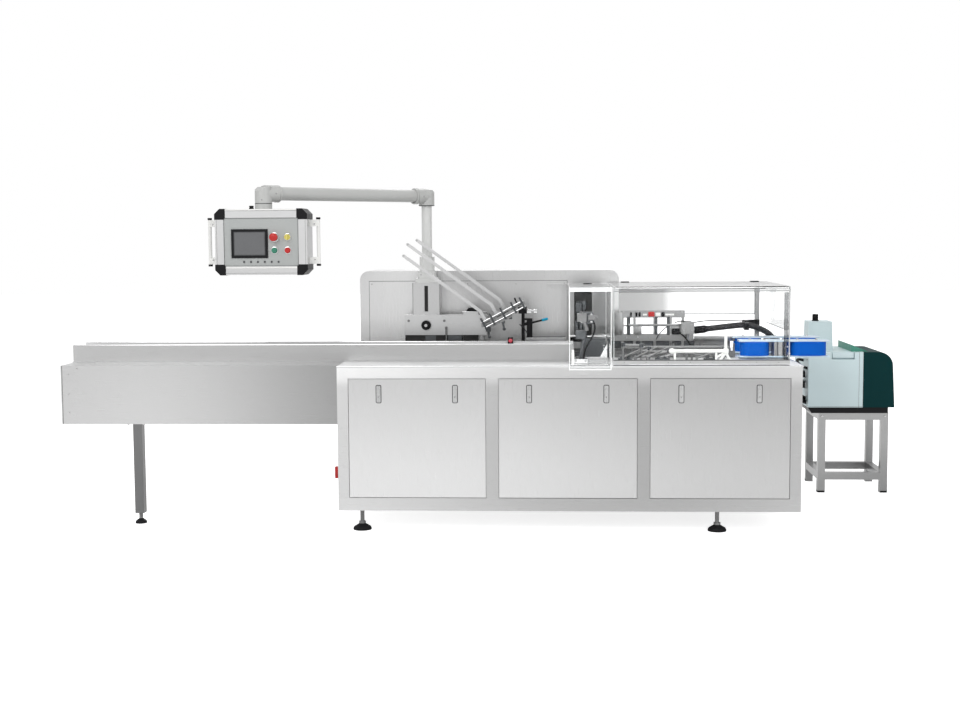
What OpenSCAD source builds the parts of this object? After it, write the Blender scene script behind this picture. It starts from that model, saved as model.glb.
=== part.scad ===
// Automatic cartoner: an infeed bucket chain on the left, a base cabinet that carries
// the carton magazine, the loader and the closing section, side belts at the outfeed,
// an operator panel on a swivel arm and a hot-melt glue unit on its own stand.
// X runs along the machine from infeed to outfeed, Y from front to back and Z up.
// Pieces are placed from the left front corner of the base cabinet on the floor,
// and centred() then shifts them so that the middle of the footprint is the origin.

/* [Base cabinet] */
// Length of the base cabinet
base_w = 2333; // [2200:1:2500]
// Depth of the base cabinet
base_d = 1200; // [1150:1:1300]
// Height of the table top above the floor
table_z = 848; // [820:1:880]
// Gap between the floor and the cabinet
floor_gap = 110; // [90:1:130]
// Thickness of the table top
table_t = 8; // [5:1:10]
// Overhang of the table top at the front, back and outfeed end
table_lip = 4; // [2:1:8]
// Number of lift-off panels on each long side
bays = 3; // [2:1:4]
// Width of the stile at each end of a long side
end_stile_w = 56; // [45:1:70]
// Width of the post between two panels
mid_post_w = 62; // [45:1:80]
// Height of the rail under the panels
low_rail_h = 66; // [50:1:90]
// Height of the rail above the panels
top_rail_h = 54; // [45:1:80]
// Gap around a lift-off panel
panel_gap = 3; // [2:0.5:5]
// Thickness of a lift-off panel
panel_t = 20; // [15:1:25]
// Width of a panel latch
latch_w = 22; // [16:1:28]
// Height of a panel latch
latch_h = 86; // [60:1:100]
// Distance of a latch from the top of its panel
latch_drop = 36; // [25:1:60]

/* [Feet] */
// Distance of the infeed end feet from the end of the cabinet
foot_left = 112; // [90:1:200]
// Distance of the outfeed end feet from the end of the cabinet
foot_right = 409; // [200:1:450]
// Distance of the feet from the front and back of the cabinet
foot_inset = 70; // [55:1:120]
// Radius of a foot pad
pad_r = 47; // [35:1:55]
// Height of a foot pad
pad_h = 32; // [25:1:40]
// Radius of a foot screw
foot_screw_r = 10; // [8:0.5:14]

/* [Infeed conveyor] */
// Length of the conveyor beside the cabinet
conv_len = 1442; // [1200:1:1600]
// Depth of the conveyor body
conv_d = 440; // [420:1:480]
// Height of the conveyor body
conv_h = 303; // [290:1:340]
// Setback of the conveyor from the front of the cabinet
conv_front = 60; // [40:1:80]
// Thickness of the conveyor sheet metal
sheet_t = 3; // [2:0.5:5]
// Distance of the guide trough from the front of the cabinet
trough_y = 280; // [270:1:290]
// Width of the guide trough
trough_w = 206; // [196:1:216]
// Height of the guide plates above the table
guide_h = 89; // [70:1:100]
// Length of the guide plates over the base cabinet
guide_over = 1200; // [1180:1:1220]
// Side of the square conveyor leg
leg_w = 48; // [40:1:60]
// Distance of the leg from the infeed end
leg_x = 358; // [250:1:500]
// Distance of the leg from the front of the cabinet
leg_y = 205; // [160:1:300]

/* [Bucket chain] */
// Radius of the chain's inner side on a sprocket
sprocket_r = 52; // [45:1:58]
// Thickness of the chain
chain_t = 12; // [8:1:15]
// Width of the chain
chain_w = 60; // [40:1:80]
// Height of a flight above the chain
flight_h = 62; // [45:1:66]
// Width of a flight
flight_w = 186; // [150:1:190]
// Thickness of a flight
flight_t = 3; // [2:0.5:5]
// Distance between two flights along the chain
flight_pitch = 150; // [120:1:220]
// Distance of the infeed sprocket from the infeed end
chain_end = 160; // [145:1:200]
// Farthest place of the last sprocket past the end of the cabinet
chain_reach = 1225; // [1190:1:1230]

/* [Rear cabinet] */
// Distance of the rear cabinet from the infeed end of the base
cab_x = 15; // [5:1:40]
// Length of the rear cabinet
cab_w = 1443; // [1400:1:1470]
// Height of the rear cabinet above the table
cab_h = 461; // [420:1:480]
// Distance of its face from the front of the base
cab_y = 800; // [780:1:850]
// Radius of its top corners
cab_r = 50; // [20:1:80]
// Thickness of its front cover
cab_cover_t = 4; // [2:1:8]

/* [Swivel arm] */
// Distance of the column from the infeed end of the base
arm_x = 400; // [380:1:450]
// Distance of the column from the front of the base
arm_y = 722; // [710:1:730]
// Height of the arm tube's axis above the table
arm_rise = 872; // [850:1:950]
// Length of the arm between the two vertical axes
arm_reach = 1031; // [950:1:1100]
// Direction of the arm at rest, counted from the outfeed direction
arm_turn = 222.4; // [215:0.1:230]
// Radius of the vertical column
column_r = 28; // [24:1:32]
// Radius of the horizontal tube
arm_r = 34; // [28:1:38]
// Radius of the elbows and couplings
elbow_r = 43; // [40:1:48]

/* [Operator panel] */
// Width of the panel box
box_w = 464; // [440:1:520]
// Height of the panel box
box_h = 328; // [300:1:350]
// Depth of the panel box
box_d = 160; // [140:1:180]
// Width of the aluminium edge profile
edge_w = 46; // [38:1:52]
// Width of the screen's bezel
screen_w = 184; // [150:1:200]
// Height of the screen's bezel
screen_h = 144; // [120:1:160]
// Radius of the stop button
stop_r = 20; // [16:1:22]
// Radius of the other buttons
button_r = 15; // [11:0.5:16]
// Reach of the grab handles beside the box
grab_reach = 53; // [45:1:70]

/* [Carton magazine] */
// Distance of the support beam from the infeed end of the base
beam_x = 283; // [270:1:300]
// Length of the support beam
beam_w = 452; // [420:1:470]
// Distance of the beam's face from the front of the base
beam_y = 600; // [590:1:615]
// Height of the beam's underside above the table
beam_rise = 116; // [100:1:130]
// Height of the beam
beam_h = 110; // [90:1:120]
// Length of a magazine rail along its slope
rail_len = 556; // [500:1:620]
// Slope of the magazine rails
rail_slope = 36; // [30:1:40]
// Radius of the handwheel
wheel_r = 26; // [20:1:32]

/* [Loader] */
// Distance of the loader cover from the infeed end of the base
loader_x = 1172; // [1165:1:1180]
// Width of the loader cover
loader_w = 212; // [205:1:220]
// Depth of the loader cover
loader_d = 600; // [580:1:620]
// Reach of the loader cover in front of the base
loader_out = 60; // [50:1:80]
// Height of the covers above the table
cover_h = 395; // [380:1:420]
// Thickness of the clear covers
clear_t = 6; // [4:1:8]
// Gap between a moving cover and the pieces beside it
cover_gap = 10; // [6:1:12]

/* [Hood] */
// Length of the hood
hood_w = 874; // [850:1:885]
// Radius of the bend between its top and its front
hood_bend = 22; // [15:1:30]
// Depth of the front leg of its end panel
hood_leg = 90; // [60:1:100]

/* [Outfeed belts] */
// Length of a side belt unit
belt_len = 450; // [420:1:480]
// Reach of the side belts past the end of the base
belt_out = 200; // [160:1:220]
// Radius of a belt pulley
pulley_r = 46; // [40:1:50]
// Height of a belt
belt_h = 74; // [60:1:80]
// Thickness of a belt
belt_t = 4; // [3:0.5:6]
// Width of the carton between the belts
carton_w = 180; // [150:1:190]

/* [Glue unit] */
// Distance of the glue unit from the outfeed end of the base
glue_gap = 232; // [225:1:260]
// Distance of the glue unit from the front of the base
glue_y = 1130; // [1110:1:1150]
// Length of the pale housing
glue_body_w = 313; // [290:1:330]
// Length of the dark cover
glue_cover_w = 180; // [160:1:200]
// Depth of the glue unit
glue_d = 460; // [420:1:480]
// Height of the glue unit without its base
glue_h = 320; // [300:1:340]
// Height of the stand
stand_h = 468; // [440:1:500]
// Side of the stand's square tube
stand_tube = 42; // [35:1:45]
// Radius of the heated hose
hose_r = 16; // [12:0.5:18]

/* [Hidden] */
round_fn = 48;
small_fn = 24;
// Clearance between fixed pieces that seat on each other round a bore
fit_gap = 0.3;
// Radial clearance of a running fit
run_gap = 0.05;
// Overrun of a cut
over = 1;

// Table and cabinet
housing_z = table_z - table_t;
bay_w = (base_w - 2 * end_stile_w - (bays - 1) * mid_post_w) / bays;
bay_h = housing_z - floor_gap - low_rail_h - top_rail_h;
bay_z = floor_gap + low_rail_h;
latch_r = 5;
latch_t = 3;
latch_key_w = 14;
latch_key_r = 3;
latch_key_h = 52;
latch_key_t = 5;
latch_side_share = 0.223;
pad_rim_share = 0.9;
pad_neck_share = 0.35;
pad_edge_share = 0.25;
pad_slope_share = 0.5;
pad_top_share = 0.85;
nut_r = 18;
nut_h = 12;
switch_y = 130;
switch_z = 285;
switch_plate_w = 64;
switch_plate_r = 6;
switch_plate_t = 3;
// Pin of the main switch and of the handwheel
knob_pin_r = 6;
knob_pin_h = 20;
switch_hub_r = 24;
switch_hub_h = 6;
switch_bar_w = 12;
switch_bar_h = 8;

// Conveyor
conv_z = table_z - conv_h;
conv_back = conv_front + conv_d;
trough_back = trough_y + trough_w;
trough_mid = trough_y + trough_w / 2;
guide_t = 3;
guide_foot = 24;
leg_plate = 110;
leg_plate_t = 8;
leg_pad_r = 30;
leg_pad_h = 26;
leg_screw_h = 30;

// Bucket chain
chain_axis_z = table_z - sprocket_r;
chain_x0 = chain_end - conv_len;
loop_r = sprocket_r + chain_t;
pitch_r = sprocket_r + chain_t / 2;
half_teeth = 4;
link = PI * pitch_r / half_teeth;
chain_links = floor((chain_reach - chain_x0) / link);
chain_run = chain_links * link;
chain_x1 = chain_x0 + chain_run;
chain_plate_w = 12;
chain_pin_r = 5;
chain_pin_sides = 8;
channel_deep = chain_axis_z - loop_r - flight_h - cover_gap;
shaft_r = 14;
chain_turn = PI * loop_r;
chain_round = 2 * (chain_run + chain_turn);
flights = floor(chain_round / flight_pitch);
sprocket_w = 30;
root_r = pitch_r - chain_pin_r - fit_gap;
tooth_r = 62;
tooth_foot = 15;
tooth_tip = 8;
flight_start_share = 0.5;
flight_corner_r = 14;
flight_foot = 36;
slot_end = chain_reach + loop_r + flight_h + cover_gap;

// Rear cabinet
cab_top = table_z + cab_h;
cab_cover_x = 53;
cab_cover_w = 1103;
cab_cover_low = 32;
cab_cover_drop = 58;

// Swivel arm
flange_w = 126;
flange_t = 24;
base_block_w = 98;
base_block_h = 40;
collar_w = 80;
collar_h = 76;
flange_r = 12;
swivel_r = 26;
pivot_r = 20;
pivot_h = 30;
joint_gap = 1;
arm_z = table_z + arm_rise;
bracket_w = 150;
bracket_slot_w = 20;
bracket_slot_inset = 16;
bracket_h = 399;
bracket_top = table_z + bracket_h;
block_z = bracket_top + flange_t;
collar_z = block_z + base_block_h + joint_gap;
elbow_drop = 52;
elbow_stub = 78;
elbow_cut = 26;
elbow_slope = 30;
panel_axis_x = arm_x + arm_reach * cos(arm_turn);
panel_axis_y = arm_y + arm_reach * sin(arm_turn);
coupling_h = 26;
coupling_z = arm_z - elbow_drop - joint_gap;

// Operator panel
box_top = coupling_z - coupling_h;
box_z = box_top - box_h;
box_mid_z = box_z + box_h / 2;
box_front = panel_axis_y - box_d / 2;
cap_over = 6;
cap_w = edge_w + cap_over;
cap_cut = 24;
cap_out = 2;
plate_deep = 6;
plate_t = 3;
bezel_t = 5;
glass_t = 2;
bezel_w = 18;
screen_shift = -58;
screen_drop = 8;
button_x = 67;
button_step = 66;
button_rise = 24;
button_fall = 42;
stop_h = 32;
stop_neck_r = 12;
stop_neck_h = 18;
button_ring_h = 5;
button_cap_h = 12;
button_cap_share = 0.72;
knob_bar_w = 8;
knob_bar_h = 12;
grab_r = 9;
grab_half = 112;
grab_bracket_h = 34;
grab_bracket_t = 22;
grab_bracket_step = 94;
grab_cap_r = 11;
grab_cap_h = 10;
grab_x = box_w / 2 + grab_reach - grab_r;
gland_r = 10;
gland_h = 18;
gland_x = 62;

// Carton magazine
beam_z = table_z + beam_rise;
beam_top = beam_z + beam_h;
beam_d = 80;
beam_foot_w = 36;
beam_foot_inset = 24;
beam_bolt_r = 7;
beam_bolt_h = 5;
beam_bolt_x = 24;
beam_bolt_step = 195;
beam_bolt_drop = 32;
beam_lever_x = 230;
beam_lever_r = 5;
beam_lever_top = 70;
beam_lever_len = 70;
beam_lever_out = 12;
beam_plate_x = 322;
beam_plate_w = 82;
beam_plate_inset = 10;
beam_plate_h = 16;
wheel_x = 120;
wheel_drop = 56;
wheel_t = 16;
wheel_hub_r = 9;
wheel_hub_h = 12;
rail_w = 17;
rail_t = 8;
hook_len = 56;
rail_short = 50;
hook_slope = 60;
mouth_x = 716;
mouth_y = 495;
mouth_d = 155;
mouth_bar = 14;
mouth_cross_w = 30;
mouth_len = 250;
mouth_slope = 28;
mouth_rise = 178;
mouth_z = table_z + mouth_rise;
// Lower bar of the mouth and the clamps that hold it
mouth_low_share = 0.16;
mouth_low_len = 118;
mouth_low_drop = 30;
mouth_clamp_shares = [0.22, 0.55];
mouth_clamp_w = 22;
// Places of the rails' lower ends and of the cross bars along the mouth
rail_shares = [0.1, 0.36, 0.55];
cross_shares = [0.36, 0.7, 0.96];
rail_mid_share = 0.36;
post_r = 9;
post_x = 932;
post_y = 566;
post_h = 234;
post_foot_r = 20;
post_foot_h = 30;
post_clamp_w = 44;
post_clamp_d = 30;
post_clamp_h = 38;
post_rod_r = 4;
post_rod_x = -24;
post_rod_lean = 26;
post_rod_h = 66;
post_arm_w = 10;
post_arm_x = 20;
post_plate_w = 30;
post_plate_t = 5;
post_plate_h = 125;
post_plate_drop = 36;
guide_rail_t = 12;
guide_rail_h = 18;
guide_rail_rise = 88;
guide_rail_z = table_z + guide_rail_rise;
guide_rail_x = 945;
guide_rail_y = 530;
guide_rail_step = 90;

// Loader and its cover
loader_y = -loader_out;
loader_back = loader_y + loader_d;
cover_top = table_z + cover_h;
front_drop = 16;
side_low = guide_h + cover_gap;
side_leg = trough_y - cover_gap - loader_y;
loader_post = 30;
knuckle_r = 7;
knuckle_w = 44;
hinge_pin_r = 3;
hinge_z = cover_top - knuckle_r;
loader_axis_y = loader_back + knuckle_r + joint_gap;
loader_foot_x = 60;
loader_foot_y = 90;
loader_foot_w = 70;
loader_foot_h = 30;
loader_bar_r = 10;
loader_bar_h = 236;
loader_bar_lean = 30;
loader_head_w = 70;
loader_head_d = 46;
loader_head_h = 60;
loader_grip_h = 44;
loader_grip_z = 130;
loader_slide_r = 8;
loader_slide_x = 24;
loader_slide_len = 210;
loader_end_d = 16;
loader_end_h = 26;
loader_angle_x = 164;
loader_angle_w = 36;
loader_angle_t = 5;
loader_angle_h = 96;
tab_w = 110;
tab_d = 56;
tab_t = 6;
tab_gusset_w = 80;
tab_gusset_h = 60;
tab_strip_x = 48;
tab_strip_w = 30;
tab_strip_h = 210;

// Hood
hood_x = loader_x + loader_w + cover_gap;
hood_low = table_z + cover_gap;
hood_end_rise = 170;
hood_end_low = table_z + hood_end_rise;
hood_trim_w = 16;
hood_trim_t = 3;
hood_post = 24;
hood_back = cab_y - 2 * cover_gap;
hood_axis_y = hood_back + knuckle_r + joint_gap;
hood_post_y = hood_axis_y + knuckle_r + joint_gap;
hood_post_inset = 60;
hood_post_x = hood_x + hood_w - hood_post_inset;
hood_screen_h = 150;
hood_screen_t = 5;
hinge_share = 0.92;
hood_hinges = [cab_x + cab_w + cover_gap + knuckle_w / 2, hood_x + hinge_share * hood_w];

// Carton track and closing section
track_x = loader_x;
track_y = trough_back + guide_foot;
track_t = 12;
track_h = 34;
lug_w = 8;
lug_h = 40;
lug_pitch = 160;

// Closing section
belt_x = base_w + belt_out - belt_len;
hold_inset = 30;
hold_x = hood_x + hold_inset;
hold_y = 720;
hold_gap = 219;
hold_w = belt_x - hold_gap - hold_x;
hold_t = 10;
hold_low = 72;
hold_high = 200;
hold_band = 40;
hold_post = 14;
hold_top_share = 0.8;
hold_post_shares = [0.1, 0.25, 0.5, 0.7, 0.85];
hold_plate_share = 0.67;
hold_plate_w = 126;
hold_plate_h = 84;
hold_mid = 152;
hold_mid_h = 8;
closer_rise = 58;
closer_r = 8;
closer_post_r = 6;
closer_out = 60;
closer_end = 60;
closer_post_shares = [0.1, 0.5, 0.9];
closer_front = 200;
closer_low = 24;
closer_rod_x = 130;
closer_rod_step = 62;
closer_rods = 3;
// Front bar with an upright at its outfeed end
front_bar_x = 306;
front_bar_gap = 98;
front_bar_len = belt_x - front_bar_gap - front_bar_x - hood_x;
front_bar_r = 9;
front_bar_rise = 58;
front_post_h = 145;
front_post_shares = [0.06, 0.8];
glue_head_w = 70;
glue_head_h = 66;
// Clamp of the hose on the hood's post, at one point of the route
clamp_stop = 3;
clamp_t = 24;
clamp_half = 26;
clamp_arm_t = 12;
clamp_arm_h = 28;
clamp_gap = 1.5;

// Outfeed belts
belt_rise = 14;
belt_z = table_z + belt_rise;
belt_first = 152;
belt_space = 112;
belt_spans = [[belt_x, belt_x + belt_first], [belt_x + belt_first + belt_space, belt_x + belt_len]];
belt_post = 22;
belt_roller_r = 12;
belt_roller_y = 32;
belt_roller_step = 28;
belt_lines = [track_y - pulley_r - belt_t, track_y + carton_w + pulley_r + belt_t];
cover_plate_t = 8;
cover_plate_over = 10;
track_len = belt_x - cover_plate_over - cover_gap - track_x;

// Glue unit
glue_x = base_w + glue_gap;
glue_base_h = 34;
glue_base_step = 8;
glue_base_short = 34;
glue_base_cut = 22;
glue_z = stand_h + glue_base_h;
glue_top = glue_z + glue_h;
glue_r = 20;
glue_cover_r = 80;
glue_cover_slant = 12;
lid_w = 62;
lid_over = 36;
lid_h = 40;
lid_inset = 40;
grip_w = 130;
grip_h = 42;
grip_deep = 18;
grip_x = 132;
tank_inset = 20;
tank_w = 146;
tank_d = 150;
tank_h = 168;
tank_lean = 6;
tank_cap_r = 16;
tank_cap_h = 40;
tank_cap_x = 56;
port_r = 20;
port_h = 24;
port_y = 70;
port_z = 188;
port_step = 62;
stand_inset = 66;
stand_x = glue_x + stand_inset;
stand_w = 400;
stand_d = 420;
stand_back = 24;
stand_y = glue_y + stand_back;
stand_low = 76;

// Hose route: from the glue head over the table to the glue unit
hose_route = [[1866, 703, 980], [1960, 706, 990], [2080, 712, 1003], [2150, 720, 1006], [2215, 745, 990],
    [2290, 815, 950], [2340, 900, 890], [2390, 1000, 820], [2430, 1100, 755], [2465, 1170, 712],
    [2500, 1198, 692], [2540, 1200, 690]];
hose_sides = 12;
hose_steps = 4;

// Footprint
guide_end = 6;
min_x = -conv_len - guide_end;
max_x = glue_x + glue_body_w + glue_cover_w;
min_y = box_front + plate_deep - plate_t - stop_h;
max_y = glue_y + glue_d;

// Shift that puts the middle of the footprint on the origin
module centred() {
    translate([-(min_x + max_x) / 2, -(min_y + max_y) / 2, 0])
        children();
}

// A block from one corner to the opposite one
module block(from, to) {
    translate(from)
        cube(to - from);
}

// A round bar from one point to another
module bar(from, to, r) {
    run = to - from;
    translate(from)
        rotate([0, atan2(norm([run.x, run.y]), run.z), atan2(run.y, run.x)])
            cylinder(r = r, h = norm(run), $fn = round_fn);
}

// A rectangle with round corners
module rounded(size, r) {
    translate([r, 0])
        square([size.x - 2 * r, size.y]);
    translate([0, r])
        square([size.x, size.y - 2 * r]);
    for (x = [r, size.x - r], y = [r, size.y - r])
        translate([x, y])
            circle(r = r, $fn = round_fn);
}

// An outline in X and Z, given a depth towards the back
module upright(y, depth) {
    translate([0, y + depth, 0])
        rotate([90, 0, 0])
            linear_extrude(depth)
                children();
}

// An outline in Y and Z, given a width towards the outfeed
module sideways(x, width) {
    translate([x, 0, 0])
        rotate([90, 0, 90])
            linear_extrude(width)
                children();
}

function bay_x(i) = end_stile_w + i * (bay_w + mid_post_w);

// Recess that takes a lift-off panel; y is its front
module bay_pocket(i, y) {
    block([bay_x(i), y, bay_z], [bay_x(i) + bay_w, y + panel_t + over, bay_z + bay_h]);
}

// Channel in which the bucket chain runs through the cabinet
module chain_channel(low) {
    block([-over, trough_y, low], [slot_end, trough_back, table_z + over]);
}

module base_housing() {
    color("gainsboro") centred()
        difference() {
            block([0, 0, floor_gap], [base_w, base_d, housing_z]);
            for (i = [0 : bays - 1]) {
                bay_pocket(i, -over);
                bay_pocket(i, base_d - panel_t);
            }
            chain_channel(channel_deep);
        }
}

module table_top() {
    color("whitesmoke") centred()
        difference() {
            block([0, -table_lip, housing_z], [base_w + table_lip, base_d + table_lip, table_z]);
            chain_channel(housing_z - over);
        }
}

// Lift-off panel in a bay; y is its front
module bay_panel(i, y) {
    block([bay_x(i) + panel_gap, y, bay_z + panel_gap],
        [bay_x(i) + bay_w - panel_gap, y + panel_t, bay_z + bay_h - panel_gap]);
}

module front_panels() {
    color("silver") centred()
        for (i = [0 : bays - 1])
            bay_panel(i, 0);
}

module rear_panels() {
    color("silver") centred()
        for (i = [0 : bays - 1])
            bay_panel(i, base_d - panel_t);
}

// Flush lock of a panel: a long plate with a raised thumb key
module latch() {
    translate([-latch_w / 2, 0])
        linear_extrude(latch_t)
            rounded([latch_w, latch_h], latch_r);
    translate([-latch_key_w / 2, (latch_h - latch_key_h) / 2, latch_t])
        linear_extrude(latch_key_t)
            rounded([latch_key_w, latch_key_h], latch_key_r);
}

module panel_latches() {
    latch_z = bay_z + bay_h - latch_drop - latch_h;
    color("gray") centred()
        for (i = [0 : bays - 1], side = [latch_side_share, 1 - latch_side_share]) {
            translate([bay_x(i) + side * bay_w, 0, latch_z])
                rotate([90, 0, 0])
                    latch();
            translate([bay_x(i) + side * bay_w, base_d, latch_z])
                rotate([90, 0, 180])
                    latch();
        }
}

// Places the children at each foot of the base cabinet
module at_base_feet() {
    for (x = [foot_left, base_w - foot_right], y = [foot_inset, base_d - foot_inset])
        translate([x, y, 0])
            children();
}

// Places the children at the foot of the conveyor leg
module at_leg_foot() {
    translate([leg_x - conv_len, leg_y, 0])
        children();
}

// Domed pad of a levelling foot
module foot_pad(r, h) {
    rotate_extrude($fn = round_fn)
        polygon([[0, 0], [r, 0], [r, h * pad_edge_share], [r * pad_rim_share, h * pad_slope_share],
            [r / 2, h * pad_top_share], [r * pad_neck_share, h], [0, h]]);
}

module levelling_feet() {
    color("dimgray") centred() {
        at_base_feet()
            foot_pad(pad_r, pad_h);
        at_leg_foot()
            foot_pad(leg_pad_r, leg_pad_h);
    }
}

module foot_screws() {
    color("silver") centred() {
        at_base_feet()
            union() {
                translate([0, 0, pad_h])
                    cylinder(r = foot_screw_r, h = floor_gap - pad_h, $fn = round_fn);
                translate([0, 0, floor_gap - nut_h])
                    cylinder(r = nut_r, h = nut_h, $fn = 6);
                translate([0, 0, pad_h])
                    cylinder(r = nut_r, h = nut_h, $fn = 6);
            }
        at_leg_foot()
            translate([0, 0, leg_pad_h])
                cylinder(r = foot_screw_r, h = leg_screw_h, $fn = round_fn);
    }
}

// Turns the children so that they stand out of the infeed end wall of the base
module on_end_wall() {
    translate([0, switch_y, switch_z])
        rotate([0, -90, 0])
            children();
}

module switch_plate() {
    color("gold") centred()
        on_end_wall()
            difference() {
                translate([-switch_plate_w / 2, -switch_plate_w / 2, 0])
                    linear_extrude(switch_plate_t)
                        rounded([switch_plate_w, switch_plate_w], switch_plate_r);
                translate([0, 0, -over])
                    cylinder(r = knob_pin_r + run_gap, h = switch_plate_t + 2 * over, $fn = small_fn);
            }
}

module main_switch() {
    face = switch_plate_t + joint_gap;
    color("red") centred()
        on_end_wall()
            union() {
                translate([0, 0, joint_gap])
                    cylinder(r = knob_pin_r, h = face, $fn = small_fn);
                translate([0, 0, face])
                    cylinder(r = switch_hub_r, h = switch_hub_h, $fn = round_fn);
                translate([-switch_hub_r, -switch_bar_w / 2, face])
                    cube([2 * switch_hub_r, switch_bar_w, switch_hub_h + switch_bar_h]);
            }
}

module conveyor_body() {
    color("lightgray") centred()
        difference() {
            block([-conv_len, conv_front, conv_z], [0, conv_back, table_z]);
            block([-conv_len + sheet_t, conv_front + sheet_t, conv_z + sheet_t],
                [over, conv_back - sheet_t, table_z - sheet_t]);
            block([-conv_len - over, trough_y, table_z - sheet_t - over],
                [over, trough_back, table_z + over]);
        }
}

module conveyor_leg() {
    color("gray") centred()
        translate([leg_x - conv_len, leg_y, 0])
            union() {
                block([-leg_w / 2, -leg_w / 2, leg_pad_h + leg_screw_h],
                    [leg_w / 2, leg_w / 2, conv_z]);
                block([-leg_plate / 2, -leg_plate / 2, conv_z - leg_plate_t],
                    [leg_plate / 2, leg_plate / 2, conv_z]);
            }
}

// Outline of the chain's loop round its two sprockets
module loop_outline(r) {
    for (x = [chain_x0, chain_x1])
        translate([x, chain_axis_z])
            circle(r = r, $fn = round_fn);
    translate([chain_x0, chain_axis_z - r])
        square([chain_run, 2 * r]);
}

// Chain: a strand of link plates on each side, joined by pins one link apart
module infeed_chain() {
    color("dimgray") centred()
        union() {
            for (y = [-chain_w / 2, chain_w / 2 - chain_plate_w])
                upright(trough_mid + y, chain_plate_w)
                    difference() {
                        loop_outline(loop_r);
                        loop_outline(sprocket_r);
                    }
            upright(trough_mid - (chain_w - chain_plate_w) / 2, chain_w - chain_plate_w)
                chain_pins();
        }
}

// Pins of the chain in X and Z; half a link before and after each sprocket's top
module chain_pins() {
    for (i = [0 : chain_links - 1], side = [-1, 1])
        translate([chain_x0 + (i + flight_start_share) * link, chain_axis_z + side * pitch_r])
            circle(r = chain_pin_r, $fn = chain_pin_sides);
    for (x = [chain_x0, chain_x1], i = [0 : half_teeth - 1])
        translate([x, chain_axis_z])
            rotate((x == chain_x0 ? 90 : -90) + 180 * (i + flight_start_share) / half_teeth)
                translate([pitch_r, 0])
                    circle(r = chain_pin_r, $fn = chain_pin_sides);
}

// Places the children on the outside of the loop, at a distance along it
module on_loop(s) {
    if (s < chain_run)
        translate([chain_x0 + s, 0, chain_axis_z + loop_r])
            children();
    else if (s < chain_run + chain_turn)
        translate([chain_x1, 0, chain_axis_z])
            rotate([0, 180 * (s - chain_run) / chain_turn, 0])
                translate([0, 0, loop_r])
                    children();
    else if (s < 2 * chain_run + chain_turn)
        translate([chain_x1 - (s - chain_run - chain_turn), 0, chain_axis_z - loop_r])
            rotate([0, 180, 0])
                children();
    else
        translate([chain_x0, 0, chain_axis_z])
            rotate([0, 180 + 180 * (s - 2 * chain_run - chain_turn) / chain_turn, 0])
                translate([0, 0, loop_r])
                    children();
}

// Folded flight: a wall with round top corners on a foot that lies on the chain
module flight() {
    sideways(-flight_t / 2, flight_t)
        translate([trough_mid - flight_w / 2, 0]) {
            square([flight_w, flight_h - flight_corner_r]);
            translate([flight_corner_r, 0])
                square([flight_w - 2 * flight_corner_r, flight_h]);
            for (y = [flight_corner_r, flight_w - flight_corner_r])
                translate([y, flight_h - flight_corner_r])
                    circle(r = flight_corner_r, $fn = small_fn);
        }
    block([0, trough_mid - chain_w / 2, 0], [flight_foot, trough_mid + chain_w / 2, flight_t]);
}

module chain_flights() {
    color("silver") centred()
        for (i = [0 : flights - 1])
            on_loop((i + flight_start_share) * chain_round / flights)
                union()
                    flight();
}

// Outline of a toothed sprocket; each tooth stands between two pins of the chain
module sprocket_outline() {
    circle(r = root_r, $fn = round_fn);
    for (i = [0 : 2 * half_teeth - 1])
        rotate(180 * i / half_teeth)
            polygon([[root_r - tooth_tip, -tooth_foot], [tooth_r, -tooth_tip], [tooth_r, tooth_tip],
                [root_r - tooth_tip, tooth_foot]]);
}

module chain_sprockets() {
    color("slategray") centred()
        for (end = [[chain_x0, conv_front + sheet_t, conv_back - sheet_t],
                [chain_x1, trough_y, trough_back]])
            union() {
                bar([end[0], end[1], chain_axis_z], [end[0], end[2], chain_axis_z], shaft_r);
                upright(trough_mid - sprocket_w / 2, sprocket_w)
                    translate([end[0], chain_axis_z])
                        sprocket_outline();
            }
}

// Folded guide plate; it stands on a foot that ends before the loader cover
module guide_plate() {
    block([min_x, -guide_t, table_z], [guide_over, 0, table_z + guide_h]);
    block([min_x, -guide_foot, table_z], [loader_x - cover_gap, 0, table_z + guide_t]);
}

module guide_plates() {
    color("lightgray") centred() {
        translate([0, trough_y, 0])
            guide_plate();
        translate([0, trough_back, 0])
            mirror([0, 1, 0])
                guide_plate();
    }
}

module rear_cabinet() {
    color("lightgray") centred()
        upright(cab_y, base_d - cab_y)
            translate([cab_x, table_z]) {
                square([cab_w, cab_h - cab_r]);
                translate([cab_r, 0])
                    square([cab_w - 2 * cab_r, cab_h]);
                for (x = [cab_r, cab_w - cab_r])
                    translate([x, cab_h - cab_r])
                        circle(r = cab_r, $fn = round_fn);
            }
}

module cabinet_cover() {
    right = cab_x + cab_cover_x + cab_cover_w;
    top = cab_top - cab_cover_drop;
    face = cab_y - cab_cover_t;
    color("silver") centred()
        block([cab_x + cab_cover_x, face, table_z + cab_cover_low], [right, cab_y, top]);
}

module arm_bracket() {
    left = arm_x - bracket_w / 2;
    front = arm_y - bracket_w / 2;
    color("silver") centred()
        difference() {
            block([left, front, beam_top], [left + bracket_w, cab_y - cab_cover_t, bracket_top]);
            block([arm_x - bracket_slot_w / 2, front - over, beam_top + bracket_slot_inset],
                [arm_x + bracket_slot_w / 2, front + bracket_slot_w, bracket_top - bracket_slot_inset]);
        }
}

// A square block with round corners, centred on the column's axis
module column_block(w, z, h, r) {
    translate([arm_x - w / 2, arm_y - w / 2, z])
        linear_extrude(h)
            rounded([w, w], r);
}

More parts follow.
